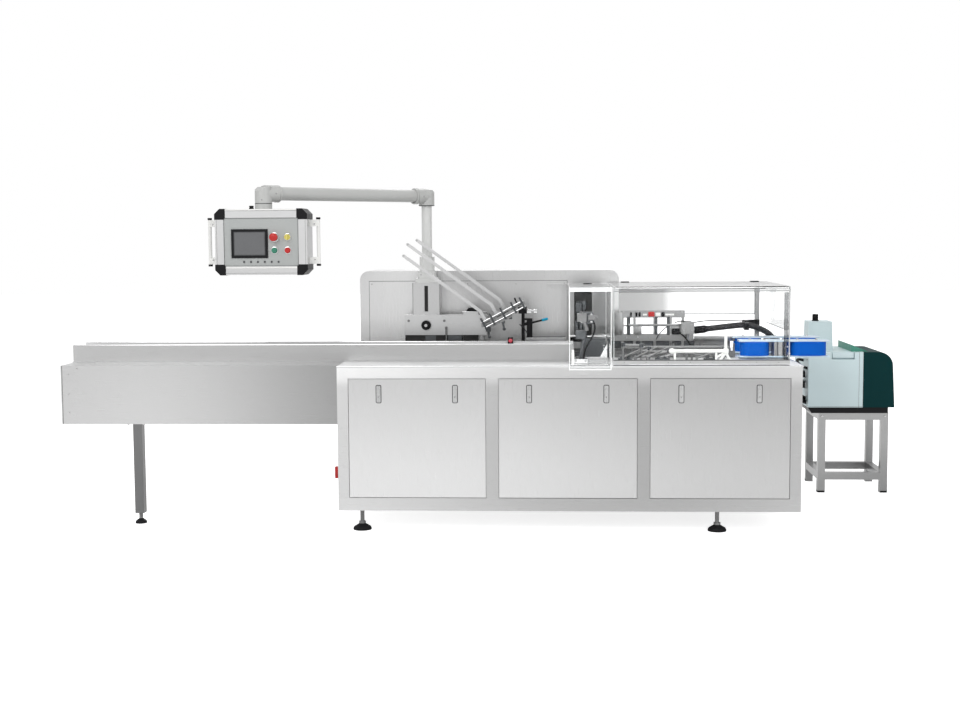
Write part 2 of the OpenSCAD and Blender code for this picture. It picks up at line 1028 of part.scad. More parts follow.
module arm_base() {
    color("white") centred()
        union() {
            column_block(flange_w, bracket_top, flange_t, flange_r);
            column_block(base_block_w, block_z, base_block_h, flange_r);
            translate([arm_x, arm_y, block_z + base_block_h])
                cylinder(r = pivot_r, h = pivot_h, $fn = round_fn);
        }
}

module arm_column() {
    color("lightgray") centred()
        difference() {
            union() {
                column_block(collar_w, collar_z, collar_h, swivel_r);
                translate([arm_x, arm_y, collar_z])
                    cylinder(r = column_r, h = arm_z - elbow_drop - collar_z, $fn = round_fn);
            }
            translate([arm_x, arm_y, collar_z - over])
                cylinder(r = pivot_r + run_gap, h = pivot_h + over, $fn = round_fn);
        }
}

// Elbow between a vertical and a horizontal tube; the horizontal one leaves along X
module elbow() {
    difference() {
        union() {
            translate([0, 0, -elbow_drop])
                cylinder(r = elbow_r, h = elbow_drop + arm_r, $fn = round_fn);
            rotate([0, 90, 0])
                cylinder(r = elbow_r - joint_gap, h = elbow_stub, $fn = round_fn);
        }
        translate([-elbow_r, 0, elbow_r])
            rotate([0, -elbow_slope, 0])
                translate([-elbow_stub, -elbow_stub, -elbow_cut])
                    cube(2 * elbow_stub);
    }
}

module arm_tube() {
    color("lightgray") centred()
        translate([arm_x, arm_y, arm_z])
            rotate([0, 0, arm_turn])
                difference() {
                    union() {
                        elbow();
                        translate([arm_reach, 0, 0])
                            mirror([1, 0, 0])
                                elbow();
                        rotate([0, 90, 0])
                            cylinder(r = arm_r, h = arm_reach, $fn = round_fn);
                    }
                    translate([arm_reach, 0, -elbow_drop - over])
                        cylinder(r = pivot_r + run_gap, h = pivot_h + over, $fn = round_fn);
                }
}

// Places the children on the vertical axis of the operator panel
module at_panel() {
    translate([panel_axis_x, panel_axis_y, 0])
        children();
}

module panel_coupling() {
    color("white") centred()
        at_panel()
            union() {
                translate([0, 0, box_top])
                    cylinder(r = elbow_r, h = coupling_h, $fn = round_fn);
                translate([0, 0, box_top])
                    cylinder(r = pivot_r, h = coupling_h + pivot_h - joint_gap, $fn = round_fn);
                translate([-gland_x, 0, box_top])
                    cylinder(r = gland_r, h = gland_h, $fn = small_fn);
            }
}

// Box with an aluminium edge profile round a sunk front plate
module panel_box() {
    color("lightgray") centred()
        at_panel()
            difference() {
                union() {
                    block([-box_w / 2 + cap_w, -box_d / 2, box_z],
                        [box_w / 2 - cap_w, box_d / 2, box_top]);
                    block([-box_w / 2, -box_d / 2, box_z + cap_w],
                        [box_w / 2, box_d / 2, box_top - cap_w]);
                }
                block([-box_w / 2 + edge_w, -box_d / 2 - over, box_z + edge_w],
                    [box_w / 2 - edge_w, -box_d / 2 + plate_deep, box_top - edge_w]);
            }
}

// Corner cap with a cut-off outer edge, for the low corner on the infeed side
module corner_cap() {
    linear_extrude(box_d + 2 * cap_out)
        polygon([[cap_w, -cap_out], [cap_cut, -cap_out], [-cap_out, cap_cut], [-cap_out, cap_w],
            [cap_w, cap_w]]);
}

// Corner caps of the box and end caps of the grab bars
module panel_corners() {
    color("black") centred()
        at_panel()
            translate([0, 0, box_mid_z])
                for (flip_x = [0, 1], flip_z = [0, 1])
                    mirror([flip_x, 0, 0])
                        mirror([0, 0, flip_z]) {
                            translate([-box_w / 2, box_d / 2 + cap_out, -box_h / 2])
                                rotate([90, 0, 0])
                                    corner_notched();
                            translate([grab_x, 0, grab_half])
                                cylinder(r = grab_cap_r, h = grab_cap_h, $fn = small_fn);
                        }
}

// The cap wraps the box's corner and stays clear of the sunk plate
module corner_notched() {
    difference() {
        corner_cap();
        translate([edge_w, edge_w, box_d + cap_out - plate_deep])
            cube([cap_w, cap_w, plate_deep + 2 * cap_out]);
    }
}

module panel_plate() {
    front = -box_d / 2 + plate_deep - plate_t;
    color("gainsboro") centred()
        at_panel()
            block([-box_w / 2 + edge_w, front, box_z + edge_w],
                [box_w / 2 - edge_w, front + plate_t, box_top - edge_w]);
}

// Places the children on the front plate, turned to face the operator
module on_plate(x, z) {
    at_panel()
        translate([x, -box_d / 2 + plate_deep - plate_t, box_mid_z + z])
            rotate([90, 0, 0])
                children();
}

module screen() {
    color("darkslategray") centred()
        on_plate(screen_shift, -screen_drop)
            difference() {
                translate([-screen_w / 2, -screen_h / 2, 0])
                    cube([screen_w, screen_h, bezel_t]);
                translate([-screen_w / 2 + bezel_w, -screen_h / 2 + bezel_w, bezel_t - glass_t])
                    cube([screen_w - 2 * bezel_w, screen_h - 2 * bezel_w, bezel_t]);
            }
}

module stop_button() {
    color("red") centred()
        on_plate(button_x, button_rise)
            union() {
                cylinder(r = stop_neck_r, h = stop_neck_h, $fn = round_fn);
                translate([0, 0, stop_neck_h])
                    cylinder(r = stop_r, h = stop_h - stop_neck_h, $fn = round_fn);
            }
}

// Lamp button: a ring with a smaller cap
module lamp_button() {
    cylinder(r = button_r, h = button_ring_h, $fn = round_fn);
    cylinder(r = button_r * button_cap_share, h = button_cap_h, $fn = round_fn);
}

module push_buttons() {
    color("green") centred() {
        on_plate(button_x, -button_fall)
            lamp_button();
        on_plate(button_x + button_step, -button_fall)
            lamp_button();
        on_plate(button_x + button_step, button_rise)
            union() {
                cylinder(r = button_r, h = button_cap_h, $fn = round_fn);
                translate([-knob_bar_w / 2, -button_r, 0])
                    cube([knob_bar_w, 2 * button_r, button_cap_h + knob_bar_h]);
            }
    }
}

// Grab handle beside the box: two brackets that hold an upright tube
module grab_handle() {
    bar([grab_x, 0, box_mid_z - grab_half], [grab_x, 0, box_mid_z + grab_half], grab_r);
    for (side = [-1, 1])
        translate([box_w / 2, -grab_bracket_t / 2, box_mid_z + side * grab_bracket_step - grab_bracket_h / 2])
            cube([grab_x - box_w / 2, grab_bracket_t, grab_bracket_h]);
}

module grab_handles() {
    color("white") centred()
        at_panel() {
            grab_handle();
            mirror([1, 0, 0])
                grab_handle();
        }
}

// Clamp lever on the beam's face: a hub and a bar that hangs down
module clamp_lever() {
    bar([0, beam_y - beam_lever_out, 0], [0, beam_y, 0], beam_bolt_r);
    bar([0, beam_y - beam_lever_out, 0], [0, beam_y - beam_lever_out, -beam_lever_len], beam_lever_r);
}

module magazine_beam() {
    color("silver") centred()
        difference() {
            union() {
                block([beam_x, beam_y, beam_z], [beam_x + beam_w, beam_y + beam_d, beam_top]);
                for (x = [beam_foot_inset, beam_w - beam_foot_inset - beam_foot_w])
                    block([beam_x + x, beam_y + beam_d / 2, table_z],
                        [beam_x + x + beam_foot_w, beam_y + beam_d, beam_z]);
                for (x = [beam_bolt_x, beam_bolt_x + beam_bolt_step])
                    bar([beam_x + x, beam_y - beam_bolt_h, beam_top - beam_bolt_drop],
                        [beam_x + x, beam_y, beam_top - beam_bolt_drop], beam_bolt_r);
                block([beam_x + beam_plate_x, beam_y + beam_plate_inset, beam_top],
                    [beam_x + beam_plate_x + beam_plate_w, beam_y + beam_d - beam_plate_inset,
                        beam_top + beam_plate_h]);
                translate([beam_x + beam_lever_x, 0, beam_top - beam_lever_top])
                    clamp_lever();
            }
            bar([beam_x + wheel_x, beam_y - over, beam_top - wheel_drop],
                [beam_x + wheel_x, beam_y + knob_pin_h, beam_top - wheel_drop], knob_pin_r + run_gap);
        }
}

module handwheel() {
    color("black") centred()
        translate([beam_x + wheel_x, beam_y, beam_top - wheel_drop])
            rotate([90, 0, 0])
                union() {
                    translate([0, 0, joint_gap - knob_pin_h])
                        cylinder(r = knob_pin_r, h = knob_pin_h, $fn = small_fn);
                    translate([0, 0, joint_gap])
                        cylinder(r = wheel_r, h = wheel_t, $fn = round_fn);
                    translate([0, 0, joint_gap])
                        cylinder(r = wheel_hub_r, h = wheel_t + wheel_hub_h, $fn = 6);
                }
}

// Flat strip in X and Z that starts at a point and runs up at a slope
module strip(at, slope, len, w) {
    translate(at)
        rotate(slope) {
            translate([0, -w / 2])
                square([len, w]);
            for (x = [0, len])
                translate([x, 0])
                    circle(r = w / 2, $fn = small_fn);
        }
}

// A point at a share of the mouth's length and at a distance above its line
function on_mouth(share, away) = [mouth_x, mouth_z]
    + share * mouth_len * [cos(mouth_slope), sin(mouth_slope)]
    + away * [-sin(mouth_slope), cos(mouth_slope)];

// One magazine rail: a long sloping strip with a steeper hook at its lower end
module rail(share, y, len) {
    end = on_mouth(share, (mouth_bar + rail_w) / 2 + fit_gap);
    bend = end + hook_len * [-cos(hook_slope), sin(hook_slope)];
    upright(y, rail_t) {
        strip(end, 180 - hook_slope, hook_len, rail_w);
        strip(bend, 180 - rail_slope, len, rail_w);
    }
}

module magazine_rails() {
    color("gainsboro") centred() {
        rail(rail_shares[0], mouth_y, rail_len - rail_short);
        rail(rail_shares[1], mouth_y + mouth_d * rail_mid_share, rail_len);
        rail(rail_shares[2], mouth_y + mouth_d - rail_t, rail_len);
    }
}

// Slanting frame at the magazine's lower end, on a bracket from the beam
module magazine_mouth() {
    rear_start = (beam_x + beam_w + mouth_bar - mouth_x) / cos(mouth_slope);
    color("darkgray") centred()
        union() {
            upright(mouth_y, mouth_bar)
                strip([mouth_x, mouth_z], mouth_slope, mouth_len, mouth_bar);
            upright(mouth_y + mouth_d - mouth_bar, mouth_bar)
                strip([mouth_x, mouth_z] + rear_start * [cos(mouth_slope), sin(mouth_slope)],
                    mouth_slope, mouth_len - rear_start, mouth_bar);
            upright(mouth_y, mouth_bar) {
                strip(on_mouth(mouth_low_share, -mouth_low_drop), mouth_slope, mouth_low_len, mouth_bar);
                for (share = mouth_clamp_shares)
                    translate(on_mouth(share, -mouth_low_drop))
                        rotate(mouth_slope)
                            square([mouth_clamp_w, mouth_low_drop]);
            }
            upright(mouth_y, mouth_d)
                for (share = cross_shares)
                    translate(on_mouth(share, 0))
                        rotate(mouth_slope)
                            square([mouth_cross_w, mouth_bar], center = true);
            block([mouth_x - mouth_bar / 2, mouth_y, mouth_z - mouth_bar],
                [mouth_x + mouth_bar / 2, beam_y, mouth_z + mouth_bar / 2]);
        }
}

module carton_guides() {
    right = loader_x - cover_gap;
    color("white") centred() {
        for (y = [guide_rail_y, guide_rail_y + guide_rail_step])
            union() {
                block([guide_rail_x, y, guide_rail_z],
                    [right, y + guide_rail_t, guide_rail_z + guide_rail_h]);
                for (x = [guide_rail_x + guide_rail_t, right - 2 * guide_rail_t])
                    block([x, y, table_z], [x + guide_rail_t, y + guide_rail_t, guide_rail_z]);
            }
    }
}

// Post beside the mouth: foot, clamp block, leaning rod and hanging plate
module magazine_post() {
    left = post_rod_x + post_rod_r;
    mid = post_h + post_clamp_h / 2;
    hook = post_h - post_plate_drop;
    color("black") centred()
        translate([post_x, post_y, table_z])
            union() {
                cylinder(r = post_r, h = post_h + post_clamp_h, $fn = round_fn);
                cylinder(r = post_foot_r, h = post_foot_h, $fn = round_fn);
                block([post_rod_x, -post_clamp_d / 2, post_h],
                    [post_rod_x + post_clamp_w, post_clamp_d / 2, post_h + post_clamp_h]);
                bar([left, 0, mid], [left - post_rod_lean, 0, mid + post_rod_h], post_rod_r);
                translate([0, -post_arm_w / 2, hook]) {
                    cube([post_arm_x + post_plate_w, post_arm_w, post_arm_w]);
                    translate([post_arm_x, -post_plate_t, post_arm_w - post_plate_h])
                        cube([post_plate_w, post_plate_t, post_plate_h]);
                }
            }
}

// Hinge along X: two outer knuckles, the pin and a bar that carries them are fixed;
// the middle knuckle with its leaf moves.
module fixed_hinge(x, axis_y) {
    step = knuckle_w + joint_gap;
    half = step + knuckle_w / 2;
    for (side = [-1, 1])
        translate([x + side * step, 0, 0]) {
            bar([-knuckle_w / 2, axis_y, hinge_z], [knuckle_w / 2, axis_y, hinge_z], knuckle_r);
            block([-knuckle_w / 2, axis_y, hinge_z - knuckle_r],
                [knuckle_w / 2, axis_y + knuckle_r + joint_gap, hinge_z]);
        }
    bar([x - half, axis_y, hinge_z], [x + half, axis_y, hinge_z], hinge_pin_r);
}

module moving_hinge(x, axis_y) {
    difference() {
        union() {
            bar([x - knuckle_w / 2, axis_y, hinge_z], [x + knuckle_w / 2, axis_y, hinge_z], knuckle_r);
            block([x - knuckle_w / 2, axis_y - knuckle_w, cover_top],
                [x + knuckle_w / 2, axis_y, cover_top + hinge_pin_r]);
            block([x - knuckle_w / 2, axis_y - knuckle_r, hinge_z],
                [x + knuckle_w / 2, axis_y, cover_top + hinge_pin_r]);
        }
        bar([x - knuckle_w, axis_y, hinge_z], [x + knuckle_w, axis_y, hinge_z], hinge_pin_r + run_gap);
    }
}

// Tab with a gusset and an upright strip on the cabinet's cover, beside the bridge
module loader_tab(face) {
    translate([loader_x - tab_w, face, hinge_z]) {
        block([0, -tab_d, -tab_t], [tab_w, 0, 0]);
        upright(-tab_t, tab_t)
            polygon([[0, -tab_t], [tab_w, -tab_t], [tab_gusset_w, -tab_gusset_h], [0, -tab_gusset_h]]);
        translate([tab_strip_x, -tab_t, -tab_strip_h])
            cube([tab_strip_w, tab_t, tab_strip_h]);
    }
}

// Bridge from the rear cabinet that carries the loader cover's hinge
module loader_frame() {
    front = loader_axis_y + knuckle_r + joint_gap;
    color("silver") centred()
        union() {
            block([loader_x, front, hinge_z - loader_post],
                [loader_x + loader_w, front + loader_post, hinge_z]);
            for (x = [loader_x, loader_x + loader_w - loader_post])
                block([x, front, hinge_z - loader_post], [x + loader_post, cab_y, hinge_z]);
            fixed_hinge(loader_x + loader_w / 2, loader_axis_y);
            loader_tab(cab_y - cab_cover_t);
        }
}

// Lever of the product pusher: a foot on two slide rods, a leaning bar with a block and a
// clamp head, and an angle beside it
module loader_arm() {
    front = -loader_foot_w / 2;
    back = loader_slide_len - loader_foot_w;
    angle_x = loader_angle_x - loader_foot_x;
    color("slategray") centred()
        translate([loader_x + loader_foot_x, loader_foot_y, table_z])
            union() {
                block([front, front, 0], [-front, -front, loader_foot_h]);
                bar([0, 0, loader_foot_h / 2], [loader_bar_lean, 0, loader_bar_h], loader_bar_r);
                block([-loader_head_d / 2, -loader_head_d / 2, loader_grip_z],
                    [loader_head_d / 2, loader_head_d / 2, loader_grip_z + loader_grip_h]);
                translate([loader_bar_lean, 0, loader_bar_h])
                    cube([loader_head_w, loader_head_d, loader_head_h], center = true);
                for (x = [-loader_slide_x, loader_slide_x])
                    bar([x, front, loader_foot_h / 2], [x, back, loader_foot_h / 2], loader_slide_r);
                block([front, back, 0], [angle_x + loader_angle_w, back + loader_end_d, loader_end_h]);
                block([angle_x, back, 0],
                    [angle_x + loader_angle_w, back + loader_angle_t, loader_angle_h]);
            }
}

// L-shaped side of the loader cover, which leaves the trough free
module loader_side(x) {
    sideways(x, clear_t) {
        translate([loader_y, table_z - front_drop])
            square([loader_out - table_lip - cover_gap, cover_h + front_drop]);
        translate([loader_y, hood_low])
            square([side_leg, cover_top - hood_low]);
        translate([loader_y, table_z + side_low])
            square([loader_d, cover_h - side_low]);
    }
}

module loader_cover() {
    color("lightcyan") centred()
        union() {
            loader_side(loader_x);
            loader_side(loader_x + loader_w - clear_t);
            block([loader_x, loader_y, table_z - front_drop],
                [loader_x + loader_w, loader_y + clear_t, cover_top]);
            block([loader_x, loader_y, cover_top - clear_t],
                [loader_x + loader_w, loader_back, cover_top]);
        }
}

// Moving hinge halves of the loader cover and of the hood
module loader_hinge() {
    color("black") centred()
        moving_hinge(loader_x + loader_w / 2, loader_axis_y);
}

// Bent sheet of the hood in Y and Z: the top, a bend and the front
module hood_shell() {
    color("lightcyan") centred()
        sideways(hood_x, hood_w)
            difference() {
                hood_outline(0);
                hood_outline(clear_t);
            }
}

// The hood's side outline, drawn in by a distance
module hood_outline(inset) {
    r = hood_bend - inset;
    top = cover_top - inset;
    translate([hood_bend, top - r])
        circle(r = r, $fn = round_fn);
    translate([inset, inset > 0 ? hood_low - over : hood_low])
        square([hood_back + over - inset, top - r - hood_low + (inset > 0 ? over : 0)]);
    translate([hood_bend, hood_low])
        square([hood_back + (inset > 0 ? over : 0) - hood_bend, top - hood_low]);
}

module hood_end() {
    color("lightcyan") centred()
        sideways(hood_x + hood_w - clear_t, clear_t)
            intersection() {
                hood_outline(clear_t);
                union() {
                    translate([0, hood_low])
                        square([hood_leg, cover_h]);
                    translate([0, hood_end_low])
                        square([hood_back, cover_h]);
                }
            }
}

module hood_hinge() {
    color("black") centred()
        for (x = hood_hinges)
            moving_hinge(x, hood_axis_y);
}

// Bright strip along the hood's lower front edge
module hood_trim() {
    color("silver") centred()
        block([hood_x, -hood_trim_t, hood_low], [hood_x + hood_w, 0, hood_low + hood_trim_w]);
}

// Post and rail behind the hood; the rail starts at the rear cabinet
module hood_frame() {
    back = hood_post_y + hood_post;
    color("gray") centred()
        union() {
            block([hood_post_x, hood_post_y, table_z], [hood_post_x + hood_post, back, hinge_z]);
            block([cab_x + cab_w, hood_post_y, hinge_z - hood_post], [hood_x + hood_w, back, hinge_z]);
            for (x = hood_hinges)
                fixed_hinge(x, hood_axis_y);
        }
}

// Clear sheet below the rail behind the hood
module rear_screen() {
    low = hinge_z - hood_post - hood_screen_h;
    color("lightcyan") centred()
        block([cab_x + cab_w, hood_post_y, low],
            [hood_post_x, hood_post_y + hood_screen_t, hinge_z - hood_post]);
}

module carton_track() {
    color("gray") centred()
        for (y = [track_y - track_t, track_y + carton_w])
            union() {
                block([track_x, y, table_z], [track_x + track_len, y + track_t, table_z + track_h]);
                for (x = [lug_pitch / 2 : lug_pitch : track_len - lug_w])
                    block([track_x + x, y, table_z + track_h],
                        [track_x + x + lug_w, y + track_t, table_z + track_h + lug_h]);
            }
}

module hold_down_frame() {
    color("darkgray") centred()
        upright(hold_y, hold_t) {
            translate([hold_x, table_z + hold_low])
                square([hold_w, hold_band]);
            translate([hold_x + hold_band, table_z + hold_high])
                square([hold_w * hold_top_share, hold_band]);
            translate([hold_x + hold_plate_share * hold_w, table_z + hold_low])
                square([hold_plate_w, hold_plate_h]);
            translate([hold_x + hold_band, table_z + hold_mid])
                square([hold_w * hold_plate_share, hold_mid_h]);
            for (share = hold_post_shares)
                translate([hold_x + share * hold_w, table_z])
                    square([hold_post, hold_high]);
        }
}

// Rod that slopes from a short post up to the front folding rail
module folding_rod(x, rail_y, top) {
    bar([x, closer_front, table_z], [x, closer_front, table_z + closer_low + closer_post_r], closer_r);
    bar([x, closer_front, table_z + closer_low], [x + closer_rod_x, rail_y, top], closer_post_r);
}

// Bar near the hood's front on two posts, with an upright at its outfeed end
module front_bar() {
    z = front_bar_rise;
    right = front_bar_len - front_bar_r;
    translate([hood_x + front_bar_x, closer_front, table_z]) {
        bar([0, 0, z], [front_bar_len, 0, z], front_bar_r);
        for (share = front_post_shares)
            bar([share * front_bar_len, 0, 0], [share * front_bar_len, 0, z], closer_post_r);
        bar([right, 0, z], [right, 0, front_post_h], closer_r);
    }
}

// Folding rails on both sides of the cartons, each on three short posts
module closing_rails() {
    left = hood_x + closer_end;
    right = belt_x - closer_end;
    top = table_z + closer_rise;
    color("whitesmoke") centred() {
        for (y = [track_y - closer_out, track_y + carton_w + closer_out])
            union() {
                bar([left, y, top], [right, y, top], closer_r);
                for (share = closer_post_shares)
                    translate([left + share * (right - left), y, 0])
                        bar([0, 0, table_z], [0, 0, top], closer_post_r);
                if (y < track_y)
                    for (i = [0 : closer_rods - 1])
                        folding_rod(left + i * closer_rod_step, y, top);
            }
        union()
            front_bar();
    }
}

// Clamp block round the hose, on an arm that ends on the hood's post
module hose_clamp() {
    at = route_at(clamp_stop);
    run = route_at(clamp_stop + 1) - route_at(clamp_stop - 1);
    left = at.x - clamp_t / 2;
    difference() {
        union() {
            block([left, at.y - clamp_half, at.z - clamp_half],
                [left + clamp_t, at.y + clamp_half, at.z + clamp_half]);
            block([left, at.y, at.z + clamp_half - clamp_arm_h],
                [left + clamp_t, hood_post_y, at.z + clamp_half]);
            block([left, hood_post_y - clamp_arm_t, at.z + clamp_half - clamp_arm_h],
                [hood_post_x + hood_post, hood_post_y, at.z + clamp_half]);
        }
        bar(at - run / 2, at + run / 2, hose_r + clamp_gap);
    }
}

// Glue head on the hold-down frame, with its nozzle above the cartons
module glue_head() {
    x = hold_x + hold_w;
    z = table_z + hold_low + hold_band;
    color("black") centred() {
        union() {
            block([x - glue_head_w, hold_y - glue_head_w / 2, z], [x, hold_y, z + glue_head_h]);
            bar([x - glue_head_w / 2, hold_y - glue_head_w / 4, z - glue_head_h / 2],
                [x - glue_head_w / 2, hold_y - glue_head_w / 4, z], closer_r);
        }
        hose_clamp();
    }
}

module belt_plates() {
    color("lightsteelblue") centred()
        for (y = belt_lines)
            union() {
                for (z = [belt_z - cover_plate_t, belt_z + belt_h])
                    block([belt_x - cover_plate_over, y - pulley_r, z],
                        [belt_x + belt_len + cover_plate_over, y + pulley_r, z + cover_plate_t]);
                for (span = belt_spans, x = pulley_axes(span))
                    translate([x, y, belt_z])
                        cylinder(r = pulley_r - fit_gap, h = belt_h, $fn = round_fn);
                translate([belt_x + belt_first + belt_space / 2, y, belt_z])
                    belt_rollers();
            }
}

// Post between two belts in line, with a pair of rollers on each side
module belt_rollers() {
    block([-belt_post / 2, -belt_post, table_z - belt_z], [belt_post / 2, belt_post, belt_h]);
    for (x = [-belt_roller_step, belt_roller_step], y = [-belt_roller_y, belt_roller_y])
        translate([x, y, 0])
            cylinder(r = belt_roller_r, h = belt_h, $fn = small_fn);
}

function pulley_axes(span) = [span[0] + pulley_r + belt_t, span[1] - pulley_r - belt_t];

// Outline of a side belt seen from above
module belt_outline(span, y, r) {
    ends = pulley_axes(span);
    for (x = ends)
        translate([x, y])
            circle(r = r, $fn = round_fn);
    translate([ends[0], y - r])
        square([ends[1] - ends[0], 2 * r]);
}

module side_belts() {
    color("royalblue") centred()
        for (y = belt_lines, span = belt_spans)
            translate([0, 0, belt_z])
                linear_extrude(belt_h)
                    difference() {
                        belt_outline(span, y, pulley_r + belt_t);
                        belt_outline(span, y, pulley_r);
                    }
}

// Point on a smooth curve through four route points
function curve(a, b, c, d, t) = (2 * b + (c - a) * t + (2 * a - 5 * b + 4 * c - d) * t * t
    + (3 * b - a - 3 * c + d) * t * t * t) / 2;
function route_at(i) = hose_route[max(0, min(len(hose_route) - 1, i))];
function hose_line() = [for (i = [0 : len(hose_route) - 2], k = [0 : hose_steps - 1])
        curve(route_at(i - 1), route_at(i), route_at(i + 1), route_at(i + 2), k / hose_steps),
    route_at(len(hose_route) - 1)];

// Rings of a tube round a list of points
function unit(v) = v / norm(v);
function way(points, i) = unit(points[min(i + 1, len(points) - 1)] - points[max(i - 1, 0)]);
function ring(points, i, r) = let (w = way(points, i), side = unit(cross(w, [0, 0, 1])), up = cross(side, w))
    [for (k = [0 : hose_sides - 1])
        points[i] + r * (cos(360 * k / hose_sides) * side + sin(360 * k / hose_sides) * up)];

module glue_hose() {
    line = hose_line();
    count = len(line);
    points = [for (i = [0 : count - 1]) each ring(line, i, hose_r)];
    skin = [for (i = [0 : count - 2], k = [0 : hose_sides - 1])
        let (next = (k + 1) % hose_sides)
            let (a = i * hose_sides, b = a + hose_sides)
                [a + k, a + next, b + next, b + k]];
    start = [for (k = [0 : hose_sides - 1]) hose_sides - 1 - k];
    end = [for (k = [0 : hose_sides - 1]) (count - 1) * hose_sides + k];
    color("black") centred()
        polyhedron(points = points, faces = concat(skin, [start, end]));
}

module glue_body() {
    color("lightblue") centred()
        difference() {
            upright(glue_y, glue_d)
                translate([glue_x, glue_z]) {
                    square([glue_body_w, glue_h - glue_r]);
                    translate([glue_r, 0])
                        square([glue_body_w - glue_r, glue_h]);
                    translate([glue_r, glue_h - glue_r])
                        circle(r = glue_r, $fn = small_fn);
                }
            block([glue_x + grip_x, glue_y - over, glue_top - grip_h],
                [glue_x + grip_x + grip_w, glue_y + grip_deep, glue_top + over]);
        }
}

// Dark end cover: its outer side leans in and runs into a round shoulder
module glue_cover() {
    shoulder = [glue_cover_w - glue_cover_r - glue_cover_slant, glue_h - glue_cover_r];
    color("darkgreen") centred()
        upright(glue_y, glue_d)
            translate([glue_x + glue_body_w, glue_z]) {
                polygon([[0, 0], [glue_cover_w, 0], [glue_cover_w - glue_cover_slant, shoulder.y],
                    [shoulder.x, glue_h], [0, glue_h]]);
                translate(shoulder)
                    circle(r = glue_cover_r, $fn = 96);
            }
}

// Raised lid between the housing and the dark cover
module glue_lid() {
    color("mediumseagreen") centred()
        upright(glue_y + lid_inset, glue_d - 2 * lid_inset)
            translate([glue_x + glue_body_w, glue_top])
                polygon([[-lid_w, 0], [lid_over, 0], [-lid_w, lid_h]]);
}

module glue_base() {
    color("black") centred()
        upright(glue_y + glue_base_step, glue_d - 2 * glue_base_step)
            polygon([[glue_x + glue_base_cut, stand_h], [max_x - glue_base_short, stand_h],
                [max_x - glue_base_short, glue_z], [glue_x, glue_z]]);
}

module glue_tank() {
    color("lightblue") centred()
        union() {
            upright(glue_y + tank_d, tank_d)
                translate([glue_x + tank_inset, glue_top])
                    polygon([[0, 0], [tank_w, 0], [tank_w - tank_lean, tank_h], [tank_lean, tank_h]]);
            translate([glue_x + tank_inset + tank_cap_x, glue_y + tank_d + tank_d / 2, glue_top + tank_h])
                cylinder(r = tank_cap_r, h = tank_cap_h, $fn = round_fn);
        }
}

// Hose couplings on the infeed side of the housing; the hose ends at the top one
module glue_ports() {
    color("black") centred()
        for (z = [port_z - port_step, port_z], y = [port_y, port_y + port_step])
            bar([glue_x - port_h, glue_y + y, glue_z + z], [glue_x, glue_y + y, glue_z + z], port_r);
}

// Frame of square tube: four legs, a rail round the top and one low down
module glue_stand() {
    color("gray") centred()
        translate([stand_x, stand_y, 0])
            difference() {
                cube([stand_w, stand_d, stand_h]);
                for (z = [[-over, stand_low], [stand_low + stand_tube, stand_h - stand_tube]]) {
                    block([stand_tube, -over, z[0]], [stand_w - stand_tube, stand_d + over, z[1]]);
                    block([-over, stand_tube, z[0]], [stand_w + over, stand_d - stand_tube, z[1]]);
                }
                block([stand_tube, stand_tube, -over],
                    [stand_w - stand_tube, stand_d - stand_tube, stand_h + over]);
            }
}

base_housing();
table_top();
front_panels();
rear_panels();
panel_latches();
levelling_feet();
foot_screws();
switch_plate();
main_switch();
conveyor_body();
conveyor_leg();
infeed_chain();
chain_flights();
chain_sprockets();
guide_plates();
rear_cabinet();
cabinet_cover();
arm_bracket();
arm_base();
arm_column();
arm_tube();
panel_coupling();
panel_box();
panel_corners();
panel_plate();
screen();
stop_button();
push_buttons();
grab_handles();
magazine_beam();
handwheel();
magazine_rails();
magazine_mouth();
magazine_post();
carton_guides();
loader_frame();
loader_arm();
loader_cover();
loader_hinge();
hood_shell();
hood_end();
hood_trim();
hood_hinge();
hood_frame();
rear_screen();
carton_track();
hold_down_frame();
closing_rails();
glue_head();
belt_plates();
side_belts();
glue_hose();
glue_body();
glue_cover();
glue_lid();
glue_base();
glue_tank();
glue_ports();
glue_stand();
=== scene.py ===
import math
from itertools import product

import bmesh
import bpy
from mathutils import Matrix, Vector


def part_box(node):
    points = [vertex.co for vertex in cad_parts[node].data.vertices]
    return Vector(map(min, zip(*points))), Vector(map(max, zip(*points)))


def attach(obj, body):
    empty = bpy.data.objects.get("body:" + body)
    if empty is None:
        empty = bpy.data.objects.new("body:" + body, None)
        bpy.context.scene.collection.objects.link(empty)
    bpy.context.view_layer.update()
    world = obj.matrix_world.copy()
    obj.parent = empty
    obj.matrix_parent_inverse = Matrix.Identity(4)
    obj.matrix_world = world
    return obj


bl_info = {
    "name": "Automatic cartoner",
    "version": (1, 0, 0),
    "blender": (4, 5, 0),
    "location": "3D View > Sidebar > Cartoner",
    "description": "Finishes, small fittings and studio for the cartoner's packed frame",
    "category": "Object",
}

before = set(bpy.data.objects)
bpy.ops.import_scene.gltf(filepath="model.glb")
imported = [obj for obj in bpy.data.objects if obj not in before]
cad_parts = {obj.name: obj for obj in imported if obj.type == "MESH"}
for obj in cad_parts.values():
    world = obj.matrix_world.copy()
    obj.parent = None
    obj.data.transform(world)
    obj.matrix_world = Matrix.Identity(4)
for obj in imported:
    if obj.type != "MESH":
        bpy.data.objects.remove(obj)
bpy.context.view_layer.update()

# The left front corner of the base cabinet at floor level; the places below count from it
CORNER = Vector((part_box("base_housing")[0].x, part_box("base_housing")[0].y, 0.0))
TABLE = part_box("table_top")[1].z
FRONT, BACK, LEFT, RIGHT = Vector((0, -1, 0)), Vector((0, 1, 0)), Vector((-1, 0, 0)), Vector((1, 0, 0))
UP, DOWN = Vector((0, 0, 1)), Vector((0, 0, -1))

